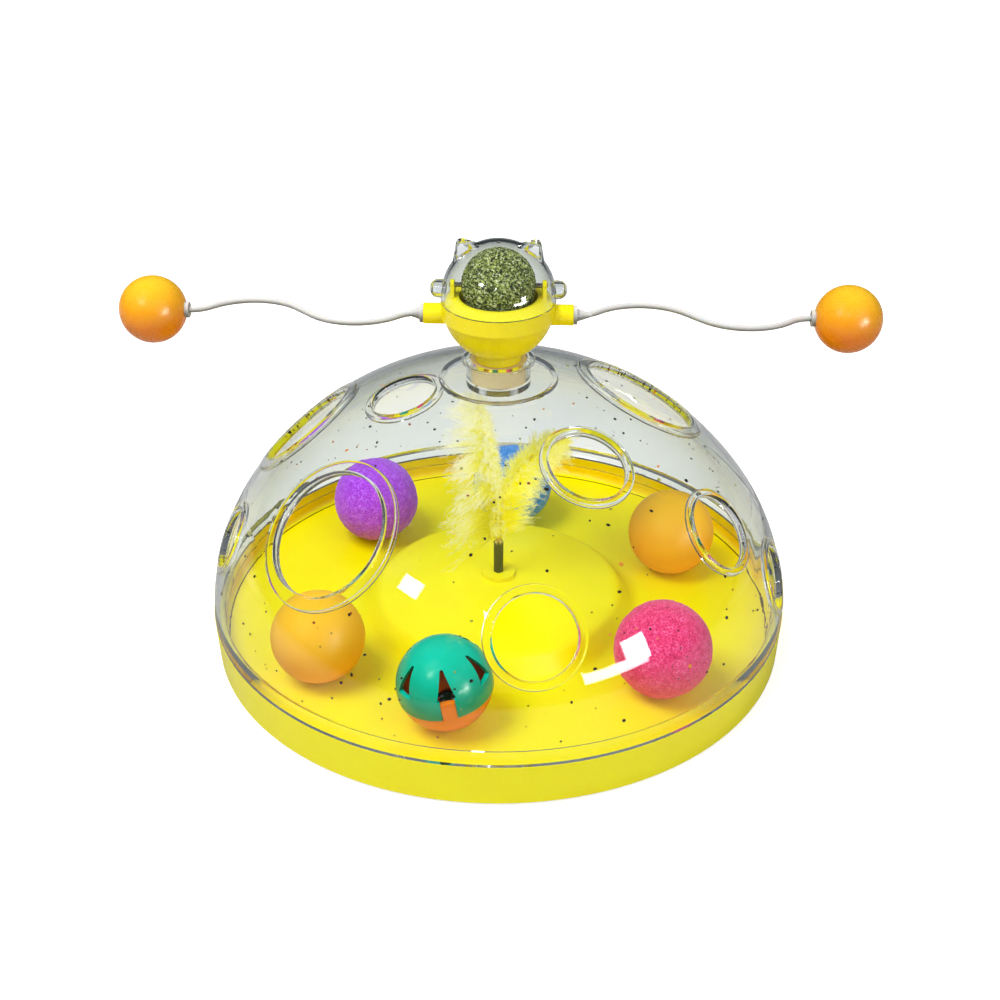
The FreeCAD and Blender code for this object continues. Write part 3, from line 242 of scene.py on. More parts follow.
@dataclass(frozen=True)
class TrayPlastic(MouldedPlastic):
    """The tray's plastic: painted golden shade lies on its inner wall, and a painted dark shadow line runs
    round the wall's foot.
    """

    # The tint of the inner wall's painted golden shade.
    painted_wall_shade: str = "#FFE28C"
    # The colour of the painted shadow line on the floor at the wall's foot.
    seam_shadow: str = "#4A2E06"
    seam_radius_mm: float = 123.6
    seam_half_mm: float = 0.34
    seam_top_mm: float = 9.6

    def paint_shade(self, tree: Wiring, colour: NodeSocket) -> NodeSocket:
        """Paint golden shade on the faces that look at the tray's axis, and a shadow line at the wall's foot.

        Args:
            tree: The material's wiring.
            colour: The pigment's colour.

        Returns:
            The changed colour.
        """
        flat = tree.add("VectorMath", {0: tree.coords, 1: (1.0, 1.0, 0.0)}, operation="MULTIPLY")
        spoke = tree.add("VectorMath", {0: flat}, operation="NORMALIZE")
        facing = tree.add("NewGeometry")
        outward = tree.add("VectorMath", {0: spoke, 1: facing.outputs["Normal"]}, operation="DOT_PRODUCT")
        inward = tree.add("Math", {0: outward.outputs["Value"], 1: -1.0}, operation="MULTIPLY")
        # Painted shade: faces that look at the tray's axis, the inner wall, are tinted golden.
        wall = tree.add("ValToRGB", {"Fac": inward}, stops=((0.3, "#FFFFFF"), (0.9, self.painted_wall_shade)))
        wall_shaded = tree.add("Mix", {0: 1.0, 6: colour, 7: wall}, data_type="RGBA", blend_type="MULTIPLY")
        # Painted shadow: a dark line on the floor where it meets the wall's foot.
        away = tree.add("VectorMath", {0: flat}, operation="LENGTH")
        in_seam_shadow = tree.add(
            "Math",
            {0: away.outputs["Value"], 1: self.seam_radius_mm * MM, 2: self.seam_half_mm * MM},
            operation="COMPARE",
        )
        axes = tree.add("SeparateXYZ", {"Vector": tree.coords})
        low = tree.add("Math", {0: axes.outputs["Z"], 1: self.seam_top_mm * MM}, operation="LESS_THAN")
        upward = tree.add("SeparateXYZ", {"Vector": facing.outputs["Normal"]})
        above = tree.add("Math", {0: upward.outputs["Z"], 1: low}, operation="MULTIPLY")
        share = tree.add("Math", {0: in_seam_shadow, 1: above}, operation="MULTIPLY", use_clamp=True)
        drawn = tree.add("Mix", {0: share, 6: wall_shaded.outputs[2], 7: linear(self.seam_shadow)}, data_type="RGBA")
        return drawn.outputs[2]


@dataclass(frozen=True)
class ClearStyrene(Finish):
    """Clear polystyrene, moulded and glossy: sharp refraction with a cold tint and the mould's slow waves.

    Its edges turn dark or bright as they bend the room, and its flat walls only dim what is behind them.
    """

    tint: str
    # Styrene bends light more, but the few bounces of a still render turn its thick rims black; this keeps
    # them as bright as they look.
    ior: float = 1.46
    inner_bounces: float = 2.5
    wave_mm: float = 26.0
    wave_depth_mm: float = 0.03
    haze: float = 0.012
    smudge_mm: float = 30.0

    def shade(self, tree: Wiring) -> Node:
        """Build the shader.

        Args:
            tree: The material's wiring.

        Returns:
            The shader's node.
        """
        wave = tree.add("TexNoise", {"Vector": tree.coords, "Scale": per_metre(self.wave_mm), "Detail": 0.0})
        waves = tree.add("Bump", {"Height": wave, "Distance": self.wave_depth_mm * MM})
        smudge = tree.add(
            "TexNoise", {"Vector": tree.coords, "Scale": per_metre(self.smudge_mm), "Detail": 5.0}
        )
        polish = tree.add("MapRange", {"Value": smudge, "To Min": 0.0, "To Max": self.haze})
        glass = tree.add(
            "BsdfPrincipled",
            {
                "Base Color": linear(self.tint),
                "Roughness": polish,
                "IOR": self.ior,
                "Transmission Weight": 1.0,
                "Normal": waves,
            },
        )
        # Lamps and bounced light pass straight through the wall, as they all but do through the real one, and
        # so does light that has run round inside a thick rim.
        path = tree.add("LightPath")
        unbent = tree.add(
            "Math", {0: path.outputs["Is Shadow Ray"], 1: path.outputs["Is Diffuse Ray"]}, operation="MAXIMUM"
        )
        trapped = tree.add(
            "Math", {0: path.outputs["Glossy Depth"], 1: self.inner_bounces}, operation="GREATER_THAN"
        )
        passing = tree.add("Math", {0: unbent, 1: trapped}, operation="MAXIMUM")
        clear = tree.add("BsdfTransparent", {"Color": linear("#FEFFFF")})
        return tree.add("MixShader", {0: passing, 1: glass, 2: clear})


@dataclass(frozen=True)
class SpongeFoam(Finish):
    """Fine closed-cell foam: matt, with painted shade in its pores and painted light on its cell rims."""

    colour: str
    deep: str
    pale: str
    # The true cells are about 0.3 mm and would be lost in the render, so they are drawn at over twice that.
    cell_mm: float = 0.75
    cell_depth_mm: float = 0.22
    cloud_mm: float = 2.4

    def shade(self, tree: Wiring) -> Node:
        """Build the shader.

        Args:
            tree: The material's wiring.

        Returns:
            The shader's node.
        """
        cells = tree.add("TexVoronoi", {"Vector": tree.coords, "Scale": per_metre(self.cell_mm)})
        cloud = tree.add(
            "TexNoise", {"Vector": tree.coords, "Scale": per_metre(self.cloud_mm), "Detail": 6.0}
        )
        depth = tree.add("Math", {0: cells, 1: cloud}, operation="MULTIPLY")
        # Painted shade in the pores and painted light on the cell rims, spread unevenly by the cloud.
        pigment = tree.add(
            "ValToRGB", {"Fac": depth}, stops=((0.08, self.deep), (0.24, self.colour), (0.5, self.pale))
        )
        rims = tree.add("Bump", {"Height": cells, "Distance": self.cell_depth_mm * MM})
        dry = tree.add("MapRange", {"Value": cloud, "To Min": 0.8, "To Max": 1.0})
        return tree.add(
            "BsdfPrincipled",
            {
                "Base Color": pigment,
                "Roughness": dry,
                "Normal": rims,
                "Specular IOR Level": 0.2,
                "Sheen Weight": 0.25,
                "Sheen Roughness": 0.5,
            },
        )


@dataclass(frozen=True)
class PressedHerb(Finish):
    """Dried catnip leaf, pressed with starch: dull flakes from near black to straw, each of one colour."""

    flake_mm: float = 0.6
    warp_mm: float = 1.6
    warp_depth_mm: float = 0.6
    lift_mm: float = 0.25

    def shade(self, tree: Wiring) -> Node:
        """Build the shader.

        Args:
            tree: The material's wiring.

        Returns:
            The shader's node.
        """
        warp = tree.add("TexNoise", {"Vector": tree.coords, "Scale": per_metre(self.warp_mm), "Detail": 2.0})
        depth = (self.warp_depth_mm * MM,) * 3
        bent = tree.add(
            "VectorMath", {0: warp.outputs["Color"], 1: depth, 2: tree.coords}, operation="MULTIPLY_ADD"
        )
        flakes = tree.add("TexVoronoi", {"Vector": bent, "Scale": per_metre(self.flake_mm)})
        shade = tree.add("SeparateColor", {"Color": flakes.outputs["Color"]})
        leaf = tree.add(
            "ValToRGB",
            {"Fac": shade.outputs["Red"]},
            stops=(
                (0.0, "#1A1E10"), (0.24, "#3E4624"), (0.44, "#667436"),
                (0.62, "#93A24A"), (0.8, "#C0CB6C"), (0.95, "#EEF0BE"),
            ),
        )
        lift = tree.add("Bump", {"Height": flakes, "Distance": self.lift_mm * MM})
        dry = tree.add("MapRange", {"Value": shade.outputs["Green"], "To Min": 0.55, "To Max": 0.95})
        return tree.add(
            "BsdfPrincipled",
            {"Base Color": leaf, "Roughness": dry, "Normal": lift, "Specular IOR Level": 0.35},
        )


@dataclass(frozen=True)
class PlatedSteel(Finish):
    """Zinc- or nickel-plated steel, tumbled: bright metal with a soft, uneven polish."""

    colour: str = "#B9B4A8"
    roughness: float = 0.28
    mottle_mm: float = 3.0
    dent_depth_mm: float = 0.02

    def shade(self, tree: Wiring) -> Node:
        """Build the shader.

        Args:
            tree: The material's wiring.

        Returns:
            The shader's node.
        """
        mottle = tree.add(
            "TexNoise", {"Vector": tree.coords, "Scale": per_metre(self.mottle_mm), "Detail": 5.0}
        )
        polish = tree.add(
            "MapRange", {"Value": mottle, "To Min": self.roughness * 0.6, "To Max": self.roughness * 1.5}
        )
        dents = tree.add("Bump", {"Height": mottle, "Distance": self.dent_depth_mm * MM})
        return tree.add(
            "BsdfPrincipled",
            {"Base Color": linear(self.colour), "Metallic": 1.0, "Roughness": polish, "Normal": dents},
        )


@dataclass(frozen=True)
class DyedDown(Finish):
    """Dyed marabou down: matt threads, strongly dyed near the stem and pale at their ends; the darker colour
    near the stem is partly painted shade, as the threads cast no shadow.
    """

    root_dye_and_shade: str
    middle: str
    end: str
    patch_mm: float = 9.0
    patch_share: float = 0.3

    def shade(self, tree: Wiring) -> Node:
        """Build the shader.

        Args:
            tree: The material's wiring.

        Returns:
            The shader's node.
        """
        reach = tree.add("Attribute", attribute_name=StrandMesh.REACH)
        patch = tree.add(
            "TexNoise", {"Vector": tree.coords, "Scale": per_metre(self.patch_mm), "Detail": 3.0}
        )
        mixed = tree.add(
            "Math", {0: patch, 1: self.patch_share, 2: reach.outputs["Fac"]}, operation="MULTIPLY_ADD"
        )
        # The root colour is dye and, in part, painted shade for the shadow the threads don't cast.
        dye = tree.add(
            "ValToRGB", {"Fac": mixed}, stops=((0.42, self.root_dye_and_shade), (0.74, self.middle), (1.0, self.end))
        )
        dull = tree.add("MapRange", {"Value": patch, "To Min": 0.75, "To Max": 1.0})
        return tree.add("BsdfPrincipled", {"Base Color": dye, "Roughness": dull, "Specular IOR Level": 0.1})


class Part(Enum):
    """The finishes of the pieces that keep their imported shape."""

    # Lemon ABS, high gloss: even colour with wide soft highlights, painted golden shade on the inner wall and
    # a painted shadow line at the wall's foot.
    TRAY = TrayPlastic("lemon_abs_gloss", "#FFF402", "#FDEF00", 0.24, scatter=0.12, scatter_mm=1.5)
    # Rubber, moulded matt: pale grey-brown and dull.
    FEET = MouldedPlastic("grey_tpr_rubber", "#8D877A", "#7B766B", 0.75, ior=1.5, grain_depth_mm=0.03)
    # Clear polystyrene, polished mould: sharp gloss, with edges that turn dark or bright.
    CLEAR = ClearStyrene("clear_polystyrene", "#F7FBFB")
    # The same plastic in the small thick cap, whose rims draw bolder dark and golden lines.
    CLEAR_CAP = ClearStyrene("clear_polystyrene_cap", "#F7FBFB", ior=1.52)
    # Acetal, moulded in natural tan: waxy, half matt.
    BUSH = MouldedPlastic("tan_acetal", "#E6D2A4", "#DCC796", 0.38, ior=1.48, scatter=0.4, scatter_mm=3.0)
    # Yellow ABS, high gloss: wide soft highlights, and a faint painted shade on faces that look down.
    BOWL = MouldedPlastic("yellow_abs_gloss", "#FAEF06", "#F6E600", 0.26, grain_depth_mm=0.0, under="#FFF6EA")
    # Zinc on steel, tumbled: grey metal with a soft gloss.
    STEEL = PlatedSteel("zinc_plated_steel")
    # White polypropylene, moulded: satin, with painted grey shade on faces that look down.
    ARMS = MouldedPlastic(
        "white_polypropylene", "#E4E3E0", "#DCDBD8", 0.42, ior=1.49, scatter=0.3, under="#9A9A96"
    )
    # Orange ABS, half gloss: soft highlights, with painted deeper orange shade on faces that look down.
    ARM_BALLS = MouldedPlastic(
        "orange_abs_gloss", "#FFC61C", "#FFBE16", 0.28, scatter=0.3, scatter_mm=3.0, under="#EAAA5C"
    )
    # Orange polypropylene, blow moulded and half see-through: light wanders in the thin wall; faces that look
    # down get a painted warm shade.
    TRACK_BALLS = MouldedPlastic(
        "orange_polypropylene", "#FFCA26", "#FFC21E", 0.46,
        ior=1.49, scatter=0.05, scatter_mm=1.0, under="#FFE09C",
    )
    # Teal ABS, high gloss: small bright highlights; faces that look down turn greener and darker, partly the
    # orange shell showing through and partly painted shade.
    SHELL_UPPER = MouldedPlastic("teal_abs_gloss", "#00D0B0", "#00C4A2", 0.2, scatter=0.1, under="#40B488")
    # Orange polystyrene, glossy and a little see-through.
    SHELL_LOWER = MouldedPlastic(
        "orange_polystyrene", "#FF8A1E", "#F77A14", 0.22, ior=1.57, scatter=0.15, scatter_mm=1.0
    )
    # Nickel on steel: brighter and warmer.
    BELL = PlatedSteel("nickel_plated_steel", "#D8D2C4", 0.16)
    # Olive PVC tube, shrunk on: half gloss with long highlights.
    SLEEVE = MouldedPlastic("olive_pvc_shrink_tube", "#55561A", "#46480F", 0.3, wave_mm=4.0)
    # Bare quill: golden horn that scatters light.
    QUILLS = MouldedPlastic(
        "golden_quill_keratin", "#C79A2C", "#A97C22", 0.4, cloud_mm=3.0, scatter=0.5, scatter_mm=1.0
    )


KEPT_NODES: dict[Part, tuple[str, ...]] = {
    Part.TRAY: ("base_tray",),
    Part.FEET: tuple(f"rubber_foot_{number}" for number in range(1, 5)),
    Part.CLEAR: ("dome_cover",),
    Part.CLEAR_CAP: ("cat_cover",),
    Part.BUSH: ("head_bush",),
    Part.BOWL: ("head_bowl",),
    Part.STEEL: ("spindle_washer", "spindle_screw", "catnip_axle", "bell_pellet"),
    Part.ARMS: ("arm_left", "arm_right"),
    Part.ARM_BALLS: ("arm_ball_left", "arm_ball_right"),
    Part.TRACK_BALLS: ("orange_ball_left", "orange_ball_right"),
    Part.SHELL_UPPER: ("bell_ball_upper",),
    Part.SHELL_LOWER: ("bell_ball_lower",),
    Part.BELL: ("jingle_bell",),
    Part.SLEEVE: ("feather_sleeve",),
    Part.QUILLS: ("feather_quills",),
}


def dress(piece: Object, finish: Finish) -> None:
    """Give a piece one finish in place of any it has.

    Args:
        piece: The piece.
        finish: What it is to be covered in.
    """
    if piece.material_slots:
        for slot in piece.material_slots:
            slot.material = finish.material()
    else:
        piece.data.materials.append(finish.material())


def new_piece(name: str, mesh: Mesh, smooth: bool = True) -> Object:
    """Put a mesh in the scene as a piece.

    Args:
        name: The piece's name.
        mesh: Its mesh.
        smooth: Whether its faces are shaded as one smooth surface.

    Returns:
        The new object.
    """
    mesh.name = name
    mesh.polygons.foreach_set("use_smooth", [smooth] * len(mesh.polygons))
    piece = bpy.data.objects.new(name, mesh)
    bpy.context.scene.collection.objects.link(piece)
    LOG.info("made %s: %d faces", name, len(mesh.polygons))
    return piece


def middle_of(node: str) -> tuple[Vector, float]:
    """Give the centre and the radius of a packed ball."""
    low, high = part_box(node)
    return (low + high) / 2, (high.z - low.z) / 2


def scatter(chance: Random) -> Vector:
    """Give a vector whose three parts each spread about zero by one."""
    return Vector((chance.gauss(0, 1), chance.gauss(0, 1), chance.gauss(0, 1)))


def ball_mesh(centre: Vector, fineness: int, surface: Callable[[Vector], float]) -> Mesh:
    """Make a closed ball whose radius changes over its surface.

    Args:
        centre: The ball's centre.
        fineness: How many times an icosahedron is divided.
        surface: A function that gives the radius in a direction.

    Returns:
        The mesh.
    """
    shape = bmesh.new()
    bmesh.ops.create_icosphere(shape, subdivisions=fineness, radius=1.0)
    for point in shape.verts:
        toward = point.co.normalized()
        point.co = centre + toward * surface(toward)
    mesh = bpy.data.meshes.new("ball")
    shape.to_mesh(mesh)
    shape.free()
    return mesh


@dataclass
class FoamBall:
    """A ball cut from sponge foam: a little out of round, with open pores."""

    colour: str
    shades: tuple[str, str, str]
    seed: float
    out_of_round_mm: float = 0.45
    lump_mm: float = 0.22
    pore_mm: float = 0.16
    fineness: int = 7

    def build(self) -> None:
        """Build the ball in the plain ball's place."""
        node, body = f"foam_ball_{self.colour}", f"foam_{self.colour}"
        centre, radius = middle_of(node)
        shift = Vector((self.seed, self.seed * 2, self.seed * 3))
        give = (self.out_of_round_mm + self.lump_mm + self.pore_mm) * MM
        wide, lumps, pores, swell = 1.3, 6.0, 34.0, 0.6

        def surface(toward: Vector) -> float:
            """Give the radius toward a direction.

            Args:
                toward: The direction, of length one.

            Returns:
                The radius.
            """
            bend = noise.noise(toward * wide + shift) * self.out_of_round_mm
            lump = noise.noise(toward * lumps + shift) * self.lump_mm
            pore = -abs(noise.noise(toward * pores + shift)) * self.pore_mm * 2
            return radius - give + (bend + lump + pore) * MM + give * swell

        piece = new_piece(node + "_sponge", ball_mesh(centre, self.fineness, surface))
        dress(piece, SpongeFoam(f"{self.colour}_eva_foam", *self.shades))
        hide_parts(node)
        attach(piece, body)


@dataclass
class HerbBall:
    """The catnip ball: a rough pressed core with loose flakes standing in its skin."""

    node: str = "catnip_ball"
    body: str = "catnip"
    slot: str = "pressed_catnip"
    flake_count: int = 5200
    flake_low_mm: float = 0.24
    flake_high_mm: float = 0.62
    flake_thick_mm: float = 0.16
    flake_tilt: float = 0.35
    sink_mm: float = 0.45
    rough_mm: float = 0.35
    fineness: int = 6
    seed: int = 7

    def build(self) -> None:
        """Build the core and its flakes as one piece."""
        centre, radius = middle_of(self.node)
        rough, flake_sink = 26.0, 0.6

        def surface(toward: Vector) -> float:
            """Give the radius of the core toward a direction."""
            return radius - self.sink_mm * MM + noise.noise(toward * rough) * self.rough_mm * MM

        mesh = ball_mesh(centre, self.fineness, surface)
        shape = bmesh.new()
        shape.from_mesh(mesh)
        chance = Random(self.seed)
        for _ in range(self.flake_count):
            toward = scatter(chance).normalized()
            self.add_flake(shape, centre + toward * (radius - self.sink_mm * MM * flake_sink), toward, chance)
        shape.to_mesh(mesh)
        shape.free()
        piece = new_piece("catnip_ball_leaf", mesh)
        dress(piece, PressedHerb("pressed_catnip_leaf"))
        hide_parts(self.node)
        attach(piece, self.body)

    def add_flake(self, shape: BMesh, spot: Vector, outward: Vector, chance: Random) -> None:
        """Add one closed leaf flake, nearly flat on the ball.

        Args:
            shape: The mesh to add to.
            spot: Where the flake lies.
            outward: The ball's outward direction there.
            chance: The source of the flake's turn, tilt and size.
        """
        up = (outward + scatter(chance) * self.flake_tilt).normalized()
        side = up.orthogonal().normalized()
        side.rotate(Matrix.Rotation(chance.uniform(0, math.tau), 3, up))
        other = up.cross(side)
        size = chance.uniform(self.flake_low_mm, self.flake_high_mm) * MM
        corners, waist, narrow = 5, 0.62, 0.7
        rings = []
        for lift in (-0.5, 0.5):
            ring = []
            for index in range(corners):
                angle = math.tau * index / corners
                reach = size * (1.0 if index % 2 else waist)
                flat = side * math.cos(angle) * reach + other * math.sin(angle) * reach * narrow
                ring.append(shape.verts.new(spot + flat + up * self.flake_thick_mm * MM * lift))
            rings.append(ring)
        shape.faces.new(rings[0][::-1])
        shape.faces.new(rings[1])
        for index in range(corners):
            after = (index + 1) % corners
            shape.faces.new((rings[0][index], rings[0][after], rings[1][after], rings[1][index]))


class StrandMesh:
    """Gathers thin tapering strands, three-sided and closed, in one mesh."""

    REACH = "barb_reach"
    SIDES = 3

    def __init__(self) -> None:
        """Start with no strands."""
        self.points: list[Vector] = []
        self.faces: list[tuple[int, ...]] = []
        self.reach: list[float] = []

    def add(self, path: list[Vector], thick: float, thin: float, reach: tuple[float, float]) -> None:
        """Add one strand.

        Args:
            path: Its middle line.
            thick: Its radius where it starts.
            thin: Its radius where it ends.
            reach: How far out on the plume it starts and ends, from 0 to 1.
        """
        base = len(self.points)
        last = len(path) - 1
        along = (path[-1] - path[0]).normalized()
        side = along.orthogonal().normalized()
        other = along.cross(side)
        for step, spot in enumerate(path):
            share = step / last
            radius = thick + (thin - thick) * share
            for corner in range(self.SIDES):
                angle = math.tau * corner / self.SIDES
                self.points.append(spot + (side * math.cos(angle) + other * math.sin(angle)) * radius)
                self.reach.append(reach[0] + (reach[1] - reach[0]) * share)
        for step in range(last):
            for corner in range(self.SIDES):
                low = base + step * self.SIDES
                after = (corner + 1) % self.SIDES
                near, far = low + corner, low + after
                self.faces.append((near, far, far + self.SIDES, near + self.SIDES))
        self.faces.append(tuple(range(base + self.SIDES - 1, base - 1, -1)))
        top = base + last * self.SIDES
        self.faces.append(tuple(range(top, top + self.SIDES)))

    def mesh(self, name: str) -> Mesh:
        """Turn the strands into a mesh that knows how far out each point lies.

        Args:
            name: The mesh's name.

        Returns:
            The mesh.
        """
        made = bpy.data.meshes.new(name)
        made.from_pydata(self.points, [], self.faces)
        store = made.attributes.new(self.REACH, "FLOAT", "POINT")
        store.data.foreach_set("value", self.reach)
        made.update()
        return made


@dataclass
class Plume:
    """One down feather: fine barbs stand out all round a bent stem, each with hair-like barbules."""

    side: str
    outward: float
    tip_mm: tuple[float, float]
    slot: str
    finish: DyedDown
    long_mm: tuple[float, float]
    climb_deg: tuple[float, float]
    climb_power: float
    inner_share: float
    barbule_mm: float
    pale_tip: float
    seed: int
    lock_count: int = 460
    barbs_per_lock: int = 5
    barbules_per_barb: int = 15
    lock_spread_mm: float = 1.6
    inner_climb_deg: float = 48.0
    root_mm: float = 0.8
    bend_mm: float = 55.0
    bare_mm: float = 46.0
    # Low down, no barb stands toward the viewer, so the golden quill shows.
    open_share: float = 0.34
    open_side: float = -0.3
    barb_mm: float = 0.11
    hair_mm: float = 0.07
    overhang: float = 1.1
    steps: int = 6

    def stem(self, share: float) -> tuple[Vector, Vector]:
        """Give a point of the stem and the way it grows there.

        Args:
            share: How far along the feathered stretch, from 0 to 1.

        Returns:
            The point and the direction.
        """
        out = (self.tip_mm[0] - self.root_mm) * MM
        rise = (self.tip_mm[1] - self.bend_mm) * MM
        radius = (out**2 + rise**2) / (2 * out)
        straight = (self.bend_mm - self.bare_mm) * MM
        turn = 2 * math.atan2(out, rise)
        along = share * (straight + radius * turn)
        if along < straight:
            spot = Vector((self.outward * self.root_mm * MM, 0, self.bare_mm * MM + along))
            return spot, Vector((0, 0, 1))
        angle = (along - straight) / radius
        across = self.root_mm * MM + radius * (1 - math.cos(angle))
        spot = Vector((self.outward * across, 0, self.bend_mm * MM + radius * math.sin(angle)))
        return spot, Vector((self.outward * math.sin(angle), 0, math.cos(angle)))

    def reach_of(self, spot: Vector, way: Vector, outline: tuple[Vector, Vector]) -> float:
        """Give how far a barb can go before it leaves the plume's round outline.

        Args:
            spot: Where the barb starts.
            way: Its direction.
            outline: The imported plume's middle and half its size.

        Returns:
            The distance.
        """
        middle, half = outline
        start = Vector([(spot[axis] - middle[axis]) / half[axis] for axis in range(3)])
        step = Vector([way[axis] / half[axis] for axis in range(3)])
        a = step.dot(step)
        b = start.dot(step)
        # A barb that starts near the outline still gets this much room.
        least = 0.12
        c = min(start.dot(start) - 1, -least)
        return (-b + math.sqrt(b * b - a * c)) / a

    def build(self) -> None:
        """Grow the locks and make them one piece."""
        node = f"feather_plume_{self.side}"
        low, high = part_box(node)
        outline = ((low + high) / 2, (high - low) / 2)
        chance = Random(self.seed)
        strands = StrandMesh()
        for index in range(self.lock_count):
            self.grow_lock(strands, (index + chance.random()) / self.lock_count, outline, chance)
        piece = new_piece(f"plume_{self.side}_down", strands.mesh(node), smooth=False)
        dress(piece, self.finish)
        # Lamp light sifts through real down, whose threads are far finer than these.
        piece.visible_shadow = False
        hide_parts(node)
        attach(piece, "feather")

    def way_out(self, share: float, up: Vector, chance: Random) -> tuple[Vector, float]:
        """Choose the direction and the length of a lock.

        Args:
            share: How far up the stem it grows.
            up: The way the stem grows there.
            chance: The source of its direction and length.

        Returns:
            The direction and the length.
        """
        turn = chance.uniform(-math.pi, math.pi)
        if share < self.open_share and math.sin(turn) < self.open_side:
            turn = -turn
        outer = Vector((self.outward * up.z, 0, -abs(up.x)))
        out = outer * math.cos(turn) + Vector((0, 1, 0)) * math.sin(turn)
        inner = (1 - math.cos(turn)) / 2
        low, high = self.climb_deg
        climb = low + (high - low) * share**self.climb_power
        climb += (self.inner_climb_deg - climb) * inner
        ruffle, tip_ruffle, tuft, shortest = 8.0, 26.0, 0.86, 0.72
        climb += chance.gauss(0, ruffle + tip_ruffle * max(0.0, share - tuft) / (1 - tuft))
        rise = math.radians(climb)
        length = self.long_mm[0] + (self.long_mm[1] - self.long_mm[0]) * share
        length *= (1 - (1 - self.inner_share) * inner) * chance.uniform(shortest, 1.0) * MM
        return (out * math.cos(rise) + up * math.sin(rise)).normalized(), length

    def grow_lock(
        self, strands: StrandMesh, share: float, outline: tuple[Vector, Vector], chance: Random
    ) -> None:
        """Grow one lock: a few barbs that start along the stem and lean toward one tip.

        Args:
            strands: What to add them to.
            share: How far up the stem it grows.
            outline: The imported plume's middle and half its size.
            chance: The source of its direction and length.
        """
        spot, up = self.stem(share)
        way, length = self.way_out(share, up, chance)
        length = min(length, self.reach_of(spot, way, outline) * self.overhang)
        most_droop, jitter, shortest, belly, lift, pale_power = 0.12, 0.02, 0.78, 0.8, 0.06, 1.5
        droop = Vector((0, 0, -1)) * length * chance.uniform(0.0, most_droop)
        tip = spot + way * length + droop
        pale = self.pale_tip * share**pale_power
        for _ in range(self.barbs_per_lock):
            start, _ = self.stem(min(max(share + chance.gauss(0, jitter), 0), 1))
            loose = scatter(chance) * self.lock_spread_mm * MM
            end = start.lerp(tip + loose, chance.uniform(shortest, 1.0))
            bulge = loose * belly - droop * 0.5 + up * length * lift
            path = []
            for step in range(self.steps + 1):
                part = step / self.steps
                path.append(start.lerp(end, part) + bulge * math.sin(part * math.pi) * 0.5)
            self.grow_barb(strands, path, pale, chance)

    def grow_barb(self, strands: StrandMesh, path: list[Vector], pale: float, chance: Random) -> None:
        """Grow one barb with its barbules.

        Args:
            strands: What to add them to.
            path: The barb's middle line.
            pale: How pale the dye already is where the barb starts, from 0 to 1.
            chance: The source of the barbules' directions.
        """
        end_reach, hair_reach, end_thin, hair_thin = 0.85, 0.15, 0.35, 0.5
        lean, curl, short, last = 0.7, 0.08, 0.5, 0.999
        gain = (1 - pale) * end_reach
        thick, fine = self.barb_mm * MM, self.hair_mm * MM
        strands.add(path, thick, thick * end_thin, (pale, pale + gain))
        for index in range(self.barbules_per_barb):
            part = (index + chance.random()) / self.barbules_per_barb
            place = min(part, last) * self.steps
            first = int(place)
            start = path[first].lerp(path[first + 1], place - first)
            along = (path[first + 1] - path[first]).normalized()
            aside = along.orthogonal().normalized()
            aside.rotate(Matrix.Rotation(chance.uniform(0, math.tau), 3, along))
            hair = (along + aside * lean).normalized() * self.barbule_mm * MM * chance.uniform(short, 1.0)
            middle = start + hair * 0.5 + aside * self.barbule_mm * MM * curl
            reach = pale + part * gain
            strands.add([start, middle, start + hair], fine, fine * hair_thin, (reach, reach + hair_reach))


class Fleck(Enum):
    """The colours of the flecks in the clear dome, each with its share of them."""

    SOOT = ("#0E0A08", 0.72)
    BRICK = ("#8E3018", 0.13)
    OLIVE = ("#9DA32A", 0.09)
    AMBER = ("#E38A1D", 0.06)


